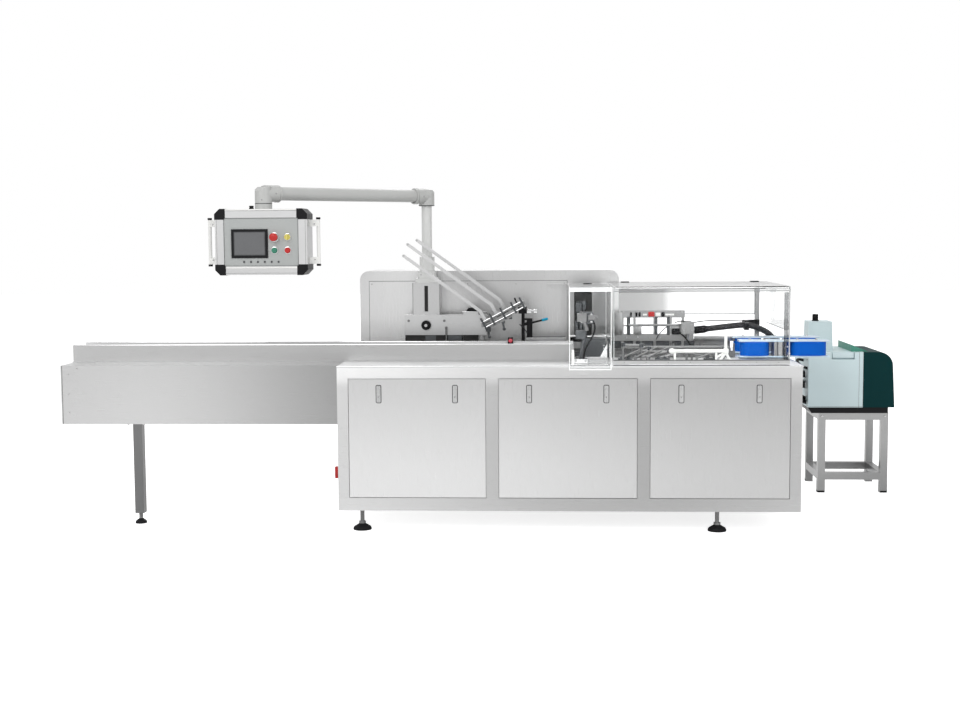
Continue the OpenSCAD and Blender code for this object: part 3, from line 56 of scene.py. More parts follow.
# Points that the glue hose runs through, counted from the same corner
HOSE_ROUTE = [
    (1.866, 0.703, 0.98), (1.96, 0.706, 0.99), (2.08, 0.712, 1.003), (2.15, 0.72, 1.006),
    (2.215, 0.745, 0.99), (2.29, 0.815, 0.95), (2.34, 0.9, 0.89), (2.39, 1, 0.82),
    (2.43, 1.1, 0.755), (2.465, 1.17, 0.712), (2.5, 1.198, 0.692), (2.54, 1.2, 0.69),
]
HOSE_STEPS = 4
HOSE_RADIUS = 0.016


def at(x, y, z):
    """A point counted from the base cabinet's left front corner on the floor."""
    return CORNER + Vector((x, y, z))


def within(box, x, y, z):
    """The point at three shares of a box, which is a pair of corners or a node's name."""
    low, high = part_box(box) if isinstance(box, str) else box
    return Vector([a + share * (b - a) for a, b, share in zip(low, high, (x, y, z))])


# Meshes

def block(bm, low, high, round_off=0.0):
    """A box from one corner to the other, with its edges rounded off."""
    low, high = Vector(low), Vector(high)
    place = Matrix.Translation((low + high) / 2) @ Matrix.Diagonal((*(high - low), 1.0))
    made = bmesh.ops.create_cube(bm, size=1.0, matrix=place)
    if round_off:
        edges = list({edge for vert in made["verts"] for edge in vert.link_edges})
        bmesh.ops.bevel(bm, geom=edges, offset=round_off, offset_type="OFFSET", segments=2,
                        profile=0.5, affect="EDGES", material=-1)


def blocks(bm, rows):
    """Boxes with corners counted from the cabinet's corner, each with its rounding."""
    for low, high, round_off in rows:
        block(bm, at(*low), at(*high), round_off)


def slab(bm, x, y, z, round_off=0.0):
    """A box over three spans: x counted from the cabinet's corner, y and z in the frame."""
    block(bm, (CORNER.x + x[0], y[0], z[0]), (CORNER.x + x[1], y[1], z[1]), round_off)


def facing(direction):
    """The turn that takes +Z to a direction."""
    return Vector(direction).to_track_quat("Z", "Y").to_matrix().to_4x4()


def rod(bm, start, end, radius, sides=12):
    """A round or many-sided bar from one point to another."""
    start, end = Vector(start), Vector(end)
    place = Matrix.Translation((start + end) / 2) @ facing(end - start)
    bmesh.ops.create_cone(bm, cap_ends=True, segments=sides, radius1=radius, radius2=radius,
                          depth=(end - start).length, matrix=place)


def rods(bm, rows, sides=12):
    """Bars with ends counted from the cabinet's corner, each with its radius."""
    for start, end, radius in rows:
        rod(bm, at(*start), at(*end), radius, sides)


def edge_line(bm, points, radius):
    """Thin bars from point to point."""
    for start, end in zip(points, points[1:]):
        rod(bm, start, end, radius, 8)


def turned(bm, foot, direction, profile, sides=24):
    """A turned piece: profile points of radius and height, spun round an axis from its foot."""
    place = Matrix.Translation(Vector(foot)) @ facing(direction)
    rings = []
    for radius, height in profile:
        turns = [2 * math.pi * k / sides for k in range(sides if radius > 0.0 else 1)]
        rings.append([bm.verts.new(place @ Vector((radius * math.cos(turn), radius * math.sin(turn), height)))
                      for turn in turns])
    for low, high in zip(rings, rings[1:]):
        for k in range(sides):
            corners = [low[k % len(low)], low[(k + 1) % sides % len(low)],
                       high[(k + 1) % sides % len(high)], high[k % len(high)]]
            corners = list(dict.fromkeys(corners))
            if len(corners) > 2:
                bm.faces.new(corners)


def hoop(bm, centre, direction, radius, thick, sides=24, around=8):
    """A ring of round wire."""
    turn = [(radius + thick * math.cos(2 * math.pi * k / around),
             thick * math.sin(2 * math.pi * k / around)) for k in range(around + 1)]
    turned(bm, centre, direction, turn, sides)


def tablet(bm, foot, out, up, width, height, depth, corner, steps=4):
    """A flat piece with round corners, which stands on its foot and faces out."""
    out, up = Vector(out).normalized(), Vector(up).normalized()
    side = up.cross(out)
    outline = []
    for quarter, (x, y) in enumerate(((1, 1), (-1, 1), (-1, -1), (1, -1))):
        for k in range(steps + 1):
            turn = math.pi / 2 * (quarter + k / steps)
            outline.append(side * (x * (width / 2 - corner) + corner * math.cos(turn))
                           + up * (y * (height / 2 - corner) + corner * math.sin(turn)))
    low = [bm.verts.new(Vector(foot) + point) for point in outline]
    high = [bm.verts.new(Vector(foot) + out * depth + point) for point in outline]
    bm.faces.new(low)
    bm.faces.new(high)
    for k in range(len(outline)):
        bm.faces.new((low[k - 1], low[k], high[k], high[k - 1]))


def bars(bm, box, out_y, width, proud):
    """Four thin bars on a face of a box that looks along Y, round its edge."""
    low, high = box
    near, far = sorted((out_y, out_y + proud))
    for x in (low.x, high.x - width):
        block(bm, (x, near, low.z), (x + width, far, high.z))
    for z in (low.z, high.z - width):
        block(bm, (low.x + width, near, z), (high.x - width, far, z + width))


def screw(bm, foot, direction, radius):
    """A cap screw with a socket, which stands on its foot."""
    high = radius * 0.9
    turned(bm, foot, direction,
           [(0.0, high * 0.45), (radius * 0.45, high * 0.45), (radius * 0.5, high),
            (radius * 0.85, high), (radius, high * 0.75), (radius, 0.0), (0.0, 0.0)], 12)


def small_screw(bm, foot, direction):
    """A cap screw of the small size."""
    screw(bm, foot, direction, fitting().small_screw)


def nut(bm, foot, direction, radius, height):
    """A hexagon nut with the end of its bolt."""
    foot, direction = Vector(foot), Vector(direction).normalized()
    rod(bm, foot, foot + direction * height, radius, 6)
    rod(bm, foot, foot + direction * height * 1.4, radius * 0.5)


def solids(node):
    """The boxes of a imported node's separate solids, from left to right."""
    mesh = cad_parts[node].data
    group = list(range(len(mesh.vertices)))

    def head(k):
        while group[k] != k:
            group[k] = group[group[k]]
            k = group[k]
        return k

    same = {}
    for vert in mesh.vertices:
        key = tuple(round(value, 5) for value in vert.co)
        group[head(vert.index)] = head(same.setdefault(key, vert.index))
    for edge in mesh.edges:
        group[head(edge.vertices[0])] = head(edge.vertices[1])
    parts = {}
    for vert in mesh.vertices:
        parts.setdefault(head(vert.index), []).append(vert.co)
    boxes = [(Vector([min(axis) for axis in zip(*points)]), Vector([max(axis) for axis in zip(*points)]))
             for points in parts.values()]
    return sorted(boxes, key=lambda pair: (round(pair[0].x, 3), round(pair[0].y, 3), pair[0].z))


def guides():
    """The boxes of the front and the rear guide plate."""
    return sorted(solids("guide_plates"), key=lambda pair: pair[0].y)


def finished(name, mesh, body, material, smooth=35.0):
    """Turns a mesh into a piece with its material, shading and body."""
    mesh.materials.clear()
    mesh.materials.append(material)
    mesh.shade_smooth()
    mesh.set_sharp_from_angle(angle=math.radians(smooth))
    obj = bpy.data.objects.new(name.lower().replace(" ", "_"), mesh)
    bpy.context.scene.collection.objects.link(obj)
    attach(obj, body)


def add_pieces(group, rows, body="machine"):
    """Makes a group's pieces, each by the method of its name; a row holds slot, finish and own body."""
    for name, (slot, finish, *own) in rows.items():
        bm = bmesh.new()
        getattr(group, name.lower().replace(" ", "_"))(bm)
        bmesh.ops.recalc_face_normals(bm, faces=bm.faces)
        mesh = bpy.data.meshes.new(name)
        bm.to_mesh(mesh)
        bm.free()
        finished(name, mesh, own[0] if own else body, FINISH[finish])
    return {"FINISHED"}


def cable(name, points, radius, sides=10):
    """A rubber cable or hose that follows points on a smooth curve."""
    curve = bpy.data.curves.new(name, "CURVE")
    curve.dimensions = "3D"
    curve.bevel_depth = radius
    curve.bevel_resolution = sides // 4
    curve.resolution_u = 6
    curve.use_fill_caps = True
    spline = curve.splines.new("NURBS")
    spline.points.add(len(points) - 1)
    for point, place in zip(spline.points, points):
        point.co = (*place, 1.0)
    spline.use_endpoint_u = True
    spline.order_u = min(4, len(points))
    rail = bpy.data.objects.new(name, curve)
    bpy.context.scene.collection.objects.link(rail)
    bpy.context.view_layer.update()
    mesh = bpy.data.meshes.new_from_object(rail.evaluated_get(bpy.context.evaluated_depsgraph_get()))
    mesh.name = name
    bpy.data.objects.remove(rail)
    bpy.data.curves.remove(curve)
    finished(name, mesh, "machine", FINISH["rubber"], smooth=60.0)


def cables(rows, sides=10):
    """Cables with points counted from the cabinet's corner, each with its radius."""
    for name, points, radius in rows:
        cable(name, [at(*point) for point in points], radius, sides)


def recolour(node, finish, test):
    """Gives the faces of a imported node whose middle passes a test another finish."""
    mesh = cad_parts[node].data
    mesh.materials.append(FINISH[finish])
    for face in mesh.polygons:
        if test(face.center):
            face.material_index = len(mesh.materials) - 1


def inside(box):
    """A test whether a point lies in a box."""
    low, high = box
    room = fitting().proud
    return lambda point: all(a - room < value < b + room for a, value, b in zip(low, point, high))


# Materials

def new_node(tree, kind, inputs=None, **options):
    """Adds a node, sets its options, and gives its inputs values or links them to outputs."""
    node = tree.nodes.new(kind)
    for option, value in options.items():
        setattr(node, option, value)
    for label, value in (inputs or {}).items():
        if isinstance(value, bpy.types.NodeSocket):
            tree.links.new(value, node.inputs[label])
        else:
            node.inputs[label].default_value = value
    return node


def feed(material, output, socket):
    """Links an output to a socket of the material's shader."""
    tree = material.node_tree
    tree.links.new(output, tree.nodes["Principled BSDF"].inputs[socket])


def shader(name, colour, metallic=0.0, roughness=0.5, **sockets):
    """A material whose Principled shader holds plain values."""
    material = bpy.data.materials.new(name)
    material.use_nodes = True
    node = material.node_tree.nodes["Principled BSDF"]
    node.inputs["Base Color"].default_value = (*colour, 1.0)
    node.inputs["Metallic"].default_value = metallic
    node.inputs["Roughness"].default_value = roughness
    for label, value in sockets.items():
        node.inputs[label.replace("_", " ")].default_value = value
    return material


def noise(material, scale, stretch=(1.0, 1.0, 1.0), detail=4.0):
    """The factor of a noise on object coordinates, stretched along the axes."""
    tree = material.node_tree
    coordinates = new_node(tree, "ShaderNodeTexCoord")
    mapping = new_node(tree, "ShaderNodeMapping", {"Vector": coordinates.outputs["Object"], "Scale": stretch})
    texture = new_node(tree, "ShaderNodeTexNoise", {"Vector": mapping.outputs["Vector"], "Scale": scale,
                                                    "Detail": detail})
    return texture.outputs["Fac"]


def map_range(tree, value, source, target):
    """Takes a value from one range to another."""
    node = new_node(tree, "ShaderNodeMapRange", {"Value": value, "From Min": source[0], "From Max": source[1],
                                                 "To Min": target[0], "To Max": target[1]})
    return node.outputs["Result"]


def spread(material, factor, low, high, socket):
    """Maps a noise to a range of values on one of the shader's sockets."""
    feed(material, map_range(material.node_tree, factor, (0.3, 0.7), (low, high)), socket)


def ramp(tree, factor, stops, curve="LINEAR"):
    """Colours between stops, which are places from 0 to 1 and colours."""
    node = new_node(tree, "ShaderNodeValToRGB", {"Fac": factor})
    node.color_ramp.interpolation = curve
    elements = node.color_ramp.elements
    while len(elements) < len(stops):
        elements.new(0.5)
    for element, (place, colour) in zip(elements, stops):
        element.position = place
        element.color = (*colour, 1.0)
    return node.outputs["Color"]


def two_tones(material, factor, first, second):
    """Lets the base colour run between two tones."""
    feed(material, ramp(material.node_tree, factor, [(0.35, first), (0.65, second)]), "Base Color")


def grain(material, factor, strength, depth):
    """Raises the surface by a factor."""
    bump = new_node(material.node_tree, "ShaderNodeBump",
                    {"Height": factor, "Strength": strength, "Distance": depth})
    feed(material, bump.outputs["Normal"], "Normal")


def brushed(name, tone, lines, roughness=0.3, spread_of_tone=0.05):
    """Stainless sheet brushed along one axis: fine lines across it and slow changes of tone."""
    material = shader(name, (tone, tone, tone), 1.0, roughness)
    across = tuple(1.5 if axis == lines else 160.0 for axis in "XYZ")
    fine = noise(material, 6.0, across, 2.0)
    slow = noise(material, 0.9, (1.0, 1.0, 1.6), 1.0)
    dark, light = tone - spread_of_tone, tone + spread_of_tone
    two_tones(material, slow, (dark, dark * 1.004, dark * 1.008), (light, light, light))
    spread(material, fine, roughness - 0.03, roughness + 0.04, "Roughness")
    grain(material, fine, 0.03, 0.0001)
    return material


def ramp_along(material, stops, axis):
    """Tones that change along one axis; stops are places and tones."""
    tree = material.node_tree
    coordinates = new_node(tree, "ShaderNodeTexCoord")
    split = new_node(tree, "ShaderNodeSeparateXYZ", {"Vector": coordinates.outputs["Object"]})
    low, high = stops[0][0], stops[-1][0]
    shift = CORNER["XYZ".index(axis)]
    share = map_range(tree, split.outputs[axis], (low + shift, high + shift), (0.0, 1.0))
    return ramp(tree, share, [((place - low) / (high - low), (tone, tone, tone)) for place, tone in stops],
                "B_SPLINE")


def along(material, stops, rise=((0.0, 1.0), (1.0, 1.0))):
    """Painted light and shade on a sheet: tones that change slowly along X, times those that change with the
    height.
    """
    painted_light_and_shade = new_node(material.node_tree, "ShaderNodeVectorMath",
                                {0: ramp_along(material, stops, "X"), 1: ramp_along(material, rise, "Z")},
                                operation="MULTIPLY")
    feed(material, painted_light_and_shade.outputs["Vector"], "Base Color")
    return material


def painted(name, colour, roughness=0.45):
    """Paint or powder coat with a faint orange peel."""
    material = shader(name, colour, 0.0, roughness)
    two_tones(material, noise(material, 3.0), tuple(c * 0.96 for c in colour),
              tuple(min(1.0, c * 1.03) for c in colour))
    grain(material, noise(material, 900.0), 0.08, 0.0003)
    return material


def moulded(name, colour, roughness=0.4, shine=0.3):
    """Moulded plastic or rubber with a fine grain."""
    material = shader(name, colour, 0.0, roughness, Specular_IOR_Level=shine)
    spread(material, noise(material, 25.0), roughness - 0.07, roughness + 0.08, "Roughness")
    grain(material, noise(material, 1400.0), 0.1, 0.0002)
    return material


def clear(name, tint):
    """Clear acrylic that lets the lamps through."""
    material = shader(name, tint, 0.0, 0.02, Transmission_Weight=1.0, IOR=1.12)
    spread(material, noise(material, 6.0), 0.0, 0.04, "Roughness")
    tree = material.node_tree
    path = new_node(tree, "ShaderNodeLightPath")
    through = new_node(tree, "ShaderNodeBsdfTransparent", {"Color": (*tint, 1.0)})
    mix = new_node(tree, "ShaderNodeMixShader", {
        "Fac": path.outputs["Is Shadow Ray"], 1: tree.nodes["Principled BSDF"].outputs["BSDF"],
        2: through.outputs["BSDF"]})
    tree.links.new(mix.outputs["Shader"], tree.nodes["Material Output"].inputs["Surface"])
    return material


FINISH = {}


def make_finishes():
    """Makes each finish once."""
    FINISH.update(
        stainless=brushed("Brushed stainless, lines along", 0.60, "X"),
        # Painted shade: the conveyor's sheet darkens towards its right end, next to the base cabinet.
        conveyor=along(brushed("Brushed conveyor sheet with painted shade", 0.6, "X"),
                       [(-1.45, 0.60), (-1.0, 0.66), (-0.5, 0.53), (0.0, 0.32)]),
        # Painted light and shade: the guide sheet is lighter at its left end and darker along the middle.
        guide=along(brushed("Brushed guide sheet with painted light", 0.5, "X"),
                    [(-1.45, 0.58), (-0.4, 0.49), (0.3, 0.47), (0.9, 0.52), (1.2, 0.48)]),
        # Painted light and shade: the rear cabinet's sheet runs lighter and darker along X and darkens
        # towards its top.
        rear=along(brushed("Brushed rear cabinet with painted light", 0.6, "Z"),
                   [(0.0, 0.84), (0.3, 0.88), (0.5, 0.70), (0.8, 0.60), (1.1, 0.72), (1.46, 0.82)],
                   ((0.85, 1.0), (1.0, 0.95), (1.1, 0.85), (1.3, 0.83))),
        # Painted reflection and shade: the panels are lighter low down, where they mirror the floor, and
        # darker towards the top and the right.
        panels=along(brushed("Brushed panels with painted reflection", 0.6, "Z"),
                     [(0.05, 0.76), (0.7, 0.74), (1.2, 0.67), (1.7, 0.60), (2.28, 0.56)],
                     ((0.08, 1.0), (0.4, 0.92), (0.8, 0.77))),
        bracket=brushed("Brushed bracket", 0.56, "Z"),
        rail_steel=brushed("Pale rail steel", 0.56, "X", 0.4, 0.03),
        # Painted shade: the conveyor's leg is a dark copy of the brushed steel, as it stands under the
        # conveyor.
        leg=brushed("Brushed leg in painted shade", 0.19, "Z", 0.35, 0.04),
        # Painted light: a pale matt colour for the rear guide's inner face, which is steel in shade.
        guide_inner=moulded("Inner guide face with painted light", (0.78, 0.78, 0.78), 0.45),
        # Painted light and shade: the base housing darkens towards the right and at middle height, and its
        # top rail carries a painted highlight.
        housing=along(brushed("Brushed housing with painted highlight", 0.6, "X"),
                      [(0.0, 0.94), (0.5, 0.80), (1.1, 0.62), (1.8, 0.56), (2.34, 0.72)],
                      ((0.05, 0.82), (0.2, 0.67), (0.74, 0.66), (0.79, 1.0), (0.85, 1.0))),
        # Painted shadow: a near black for slots, holes, gaps and shaded spaces under and behind parts.
        shadow=moulded("Painted shadow in gaps", (0.02, 0.02, 0.02), 0.7),
        cast=moulded("Cast iron", (0.08, 0.085, 0.09), 0.5),
        dark_zinc=brushed("Dark zinc thread", 0.22, "Z", 0.35, 0.03),
        table=brushed("Brushed stainless table", 0.70, "X", 0.5),
        dark_frame=brushed("Frame steel", 0.34, "X", 0.34),
        tube_steel=brushed("Brushed steel tube", 0.32, "Z", 0.3),
        bright=brushed("Polished steel", 0.72, "X", 0.14, 0.03),
        chain=brushed("Oiled chain steel", 0.22, "Y", 0.35, 0.04),
        zinc=brushed("Zinc-plated screw", 0.55, "Z", 0.25, 0.04),
        rubber=moulded("Black rubber", (0.012, 0.012, 0.013), 0.6, 0.12),
        arm=painted("Warm grey powder coat", (0.48, 0.485, 0.475), 0.4),
        # Painted light: the arm's powder coat made lighter for the column and the base, which look brighter
        # under the lamps.
        arm_pale=painted("Powder coat with painted light", (0.66, 0.665, 0.655), 0.4),
        aluminium=brushed("Anodised profile", 0.60, "X", 0.34, 0.02),
        plate=painted("Panel plate paint", (0.39, 0.405, 0.40), 0.5),
        black=moulded("Black moulding", (0.01, 0.01, 0.011), 0.38, 0.12),
        white=moulded("White moulding", (0.82, 0.82, 0.80), 0.35),
        glass=moulded("Screen bezel", (0.012, 0.0125, 0.0135), 0.35, 0.12),
        lit_glass=moulded("Screen glass", (0.15, 0.153, 0.158), 0.4, 0.08),
        bezel=moulded("Grey moulding", (0.07, 0.072, 0.075), 0.42),
        # Dark seams; the same colour also draws painted shadow lines at the arm's joints, the panel plate's
        # border and the hood's trim.
        seam=moulded("Seam", (0.10, 0.105, 0.105), 0.6),
        red=moulded("Red moulding", (0.48, 0.028, 0.026), 0.32),
        green=moulded("Green moulding", (0.045, 0.21, 0.14), 0.35),
        yellow=moulded("Yellow moulding", (0.64, 0.56, 0.15), 0.4),
        lens=moulded("Red lens", (0.85, 0.12, 0.16), 0.25),
        cyan=moulded("Blue fitting", (0.0, 0.32, 0.52), 0.35),
        brass=brushed("Yellow zinc", 0.42, "Z", 0.3, 0.03),
        # Painted highlights and painted dark reflections: opaque bars in these colours stand for the light
        # that the clear sheets' edges and bends catch.
        edge=painted("Painted highlight on acrylic edge", (0.88, 0.89, 0.89), 0.3),
        hood_edge=painted("Hood edge", (0.46, 0.47, 0.47), 0.3),
        bend=moulded("Acrylic bend with painted dark reflection", (0.2, 0.205, 0.21), 0.3),
        shield=brushed("Brushed shield", 0.22, "Z", 0.35, 0.03),
        belt_dark=moulded("Belt seam", (0.0, 0.05, 0.42), 0.5),
        acrylic=clear("Clear acrylic", (0.985, 0.99, 0.99)),
        corner=clear("Smoked acrylic", (0.3, 0.305, 0.31)),
        # Painted shade: the rear screen's tint is dark over its left part.
        screen_acrylic=along(clear("Rear screen acrylic with painted shade", (0.9, 0.9, 0.9)),
                             [(1.458, 0.34), (1.70, 0.38), (1.76, 0.90), (2.2, 0.93)]),
        belt=moulded("Blue belt", (0.002, 0.105, 0.52), 0.5, 0.08),
        belt_plate=painted("Pale blue plate", (0.50, 0.62, 0.72), 0.4),
        glue_pale=painted("Pale glue unit paint", (0.60, 0.72, 0.74), 0.42),
        glue_dark=moulded("Dark green moulding", (0.003, 0.032, 0.034), 0.5, 0.06),
        glue_light=moulded("Light green moulding", (0.07, 0.27, 0.20), 0.45),
        hose=moulded("Hose braid", (0.03, 0.03, 0.032), 0.55),
    )


NODE_FINISH = {
    "stainless": ["magazine_beam", "hood_trim", "loader_frame"],
    "bracket": ["arm_bracket"],
    "conveyor": ["conveyor_body"],
    "guide": ["guide_plates"],
    "rear": ["rear_cabinet", "cabinet_cover"],
    "housing": ["base_housing"],
    "panels": ["front_panels", "rear_panels"],
    "table": ["table_top"],
    "shield": ["carton_track"],
    "dark_frame": ["hood_frame", "hold_down_frame", "magazine_mouth"],
    "tube_steel": ["glue_stand", "closing_rails"],
    "leg": ["conveyor_leg"],
    "bright": ["chain_flights", "loader_arm", "carton_guides"],
    "rail_steel": ["magazine_rails"],
    "dark_zinc": ["foot_screws"],
    "chain": ["infeed_chain", "chain_sprockets"],
    "zinc": ["panel_latches"],
    "rubber": ["levelling_feet"],
    "arm": ["arm_tube", "panel_coupling"],
    "arm_pale": ["arm_base", "arm_column"],
    "aluminium": ["panel_box"],
    "plate": ["panel_plate"],
    "black": ["panel_corners", "handwheel", "loader_hinge", "hood_hinge", "glue_head",
              "magazine_post", "glue_base", "glue_ports"],
    "white": ["grab_handles"],
    "glass": ["screen"],
    "red": ["stop_button", "main_switch"],
    "green": ["push_buttons"],
    "yellow": ["switch_plate"],
    "acrylic": ["loader_cover", "hood_shell", "hood_end"],
    "screen_acrylic": ["rear_screen"],
    "belt": ["side_belts"],
    "belt_plate": ["belt_plates"],
    "glue_pale": ["glue_body", "glue_tank"],
    "glue_dark": ["glue_cover"],
    "glue_light": ["glue_lid"],
    "hose": ["glue_hose"],
}


class StageSettings(bpy.types.PropertyGroup):
    """Camera, lamps and floor."""
    lens: bpy.props.FloatProperty(
        name="Lens", description="Focal length of the camera in millimetres", default=52.5)
    camera_x: bpy.props.FloatProperty(
        name="Camera X", description="Distance of the camera from the cabinet's left end",
        default=1.0935, unit="LENGTH")
    camera_y: bpy.props.FloatProperty(
        name="Camera Y", description="Distance of the camera behind the cabinet's front",
        default=-7.0, unit="LENGTH")
    camera_z: bpy.props.FloatProperty(
        name="Camera height", description="Height of the camera above the floor",
        default=1.49, unit="LENGTH")
    camera_turn: bpy.props.FloatProperty(
        name="Camera turn", description="Turn of the camera to the left",
        default=math.radians(3.0), subtype="ANGLE")
    camera_tilt: bpy.props.FloatProperty(
        name="Camera tilt", description="Tilt of the camera down",
        default=math.radians(4.98), subtype="ANGLE")
    camera_roll: bpy.props.FloatProperty(
        name="Camera roll", description="Roll of the camera clockwise",
        default=math.radians(0.36), subtype="ANGLE")
    floor_size: bpy.props.FloatProperty(
        name="Floor size", description="Side of the square floor", default=60.0, unit="LENGTH")
    floor_lift: bpy.props.FloatProperty(
        name="Floor brightness", description="Light that the camera sees added to the floor",
        default=0.72)
    floor_mirrored: bpy.props.FloatProperty(
        name="Mirrored floor", description="Light added to the floor where metal mirrors it",
        default=0.22)
    ambient: bpy.props.FloatProperty(
        name="Ambient light", description="Strength of the light from all sides", default=0.64)
    key: bpy.props.FloatProperty(
        name="Key lamp", description="Power of the lamp at the front left", default=120.0,
        unit="POWER")
    fill: bpy.props.FloatProperty(
        name="Fill lamp", description="Power of the lamp at the front right", default=70.0,
        unit="POWER")


class CARTONER_OT_stage(bpy.types.Operator):
    """Add the camera, the lamps, the world and the floor."""
    bl_idname = "cartoner.stage"
    bl_label = "Studio"

    def execute(self, context):
        settings = context.scene.cartoner_stage
        self.camera(context, settings)
        self.lamps(context, settings)
        self.world(context, settings)
        self.floor(context, settings)
        context.scene.view_settings.view_transform = "Standard"
        return {"FINISHED"}

    def camera(self, context, settings):
        data = bpy.data.cameras.new("Camera")
        data.sensor_width = 36.0
        data.lens = settings.lens
        data.clip_end = 100.0
        camera = bpy.data.objects.new("Camera", data)
        turn, tilt = settings.camera_turn, settings.camera_tilt
        forward = Vector((-math.sin(turn) * math.cos(tilt), math.cos(turn) * math.cos(tilt),
                          -math.sin(tilt)))
        right = Vector((math.cos(turn), math.sin(turn), 0.0))
        roll = Matrix.Rotation(settings.camera_roll, 3, forward)
        basis = Matrix((roll @ right, roll @ right.cross(forward), -forward)).transposed().to_4x4()
        place = at(settings.camera_x, settings.camera_y, settings.camera_z)
        camera.matrix_world = Matrix.Translation(place) @ basis
        context.scene.collection.objects.link(camera)
        context.scene.camera = camera

    def lamps(self, context, settings):
        target = at(1.0, 0.5, 0.8)
        for name, place, size, power in (
            ("Key lamp", (-1.6, -4.6, 4.4), 3.2, settings.key),
            ("Fill lamp", (4.6, -4.0, 3.2), 2.6, settings.fill),
            ("Back lamp", (1.4, 4.6, 4.2), 3.0, settings.fill),
        ):
            data = bpy.data.lights.new(name, "AREA")
            data.size = size
            data.energy = power
            lamp = bpy.data.objects.new(name, data)
            spot = at(*place)
            lamp.matrix_world = Matrix.Translation(spot) @ facing(spot - target)
            context.scene.collection.objects.link(lamp)

    def seen(self, tree, path):
        """One where the camera looks, also through clear sheets, and otherwise zero."""
        return new_node(tree, "ShaderNodeMath", {0: path.outputs["Is Camera Ray"],
                                                 1: path.outputs["Is Transmission Ray"]},
                        operation="MAXIMUM").outputs["Value"]

    def world(self, context, settings):
        world = bpy.data.worlds.new("Studio")
        world.use_nodes = True
        context.scene.world = world
        tree = world.node_tree
        tree.nodes.clear()
        coordinates = new_node(tree, "ShaderNodeTexCoord")
        split = new_node(tree, "ShaderNodeSeparateXYZ", {"Vector": coordinates.outputs["Generated"]})
        both = new_node(tree, "ShaderNodeMath", {
            0: map_range(tree, split.outputs["Z"], (-0.25, 0.5), (0.72, 1.0)),
            1: map_range(tree, split.outputs["X"], (-0.8, 0.8), (1.12, 0.88))}, operation="MULTIPLY")
        path = new_node(tree, "ShaderNodeLightPath")
        mirror = new_node(tree, "ShaderNodeMix", {
            "Factor": path.outputs["Is Glossy Ray"], "A": settings.ambient, "B": both.outputs["Value"]})
        last = new_node(tree, "ShaderNodeMix", {
            "Factor": self.seen(tree, path), "A": mirror.outputs["Result"], "B": 1.0})
        background = new_node(tree, "ShaderNodeBackground", {
            "Color": (1.0, 1.0, 1.0, 1.0), "Strength": last.outputs["Result"]})
        new_node(tree, "ShaderNodeOutputWorld", {"Surface": background.outputs["Background"]})

    def floor(self, context, settings):
        bm = bmesh.new()
        bmesh.ops.create_grid(bm, x_segments=1, y_segments=1, size=settings.floor_size / 2)
        mesh = bpy.data.meshes.new("Floor")
        bm.to_mesh(mesh)
        bm.free()
        material = shader("Pale floor", (0.93, 0.93, 0.93), 0.0, 0.9, Specular_IOR_Level=0.0,
                          Emission_Color=(1.0, 1.0, 1.0, 1.0))
        tree = material.node_tree
        path = new_node(tree, "ShaderNodeLightPath")
        lift = new_node(tree, "ShaderNodeMath", {0: self.seen(tree, path), 1: settings.floor_lift},
                        operation="MULTIPLY")
        mirrored = new_node(tree, "ShaderNodeMath", {
            0: path.outputs["Is Glossy Ray"], 1: settings.floor_mirrored, 2: lift.outputs["Value"]},
            operation="MULTIPLY_ADD")
        feed(material, mirrored.outputs["Value"], "Emission Strength")
        mesh.materials.append(material)
        floor = bpy.data.objects.new("Floor", mesh)
        context.scene.collection.objects.link(floor)


class CARTONER_OT_finishes(bpy.types.Operator):
    """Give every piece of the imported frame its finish."""
    bl_idname = "cartoner.finishes"
    bl_label = "Finishes"

    def execute(self, context):
        make_finishes()
        for finish, nodes in NODE_FINISH.items():
            for name in nodes:
                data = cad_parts[name].data
                data.materials.clear()
                data.materials.append(FINISH[finish])
        bare = set(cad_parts) - {name for nodes in NODE_FINISH.values() for name in nodes}
        if bare:
            raise RuntimeError(f"nodes without a finish: {sorted(bare)}")
        return {"FINISHED"}


class FittingSettings(bpy.types.PropertyGroup):
    """Sizes that the small fittings share."""
    screw: bpy.props.FloatProperty(
        name="Screw head", description="Radius of a cap screw's head", default=0.0065, unit="LENGTH")
    small_screw: bpy.props.FloatProperty(
        name="Small screw head", description="Radius of a small screw's head", default=0.004,
        unit="LENGTH")
    bolt: bpy.props.FloatProperty(
        name="Bolt head", description="Radius of a hexagon bolt's head", default=0.009, unit="LENGTH")
    wire: bpy.props.FloatProperty(
        name="Wire", description="Radius of a sensor's cable", default=0.0025, unit="LENGTH")
    proud: bpy.props.FloatProperty(
        name="Proud", description="Height of a seam or an inlay over its sheet", default=0.0006,
        unit="LENGTH")


def fitting():
    """The sizes that the small fittings share."""
    return bpy.context.scene.cartoner_fittings


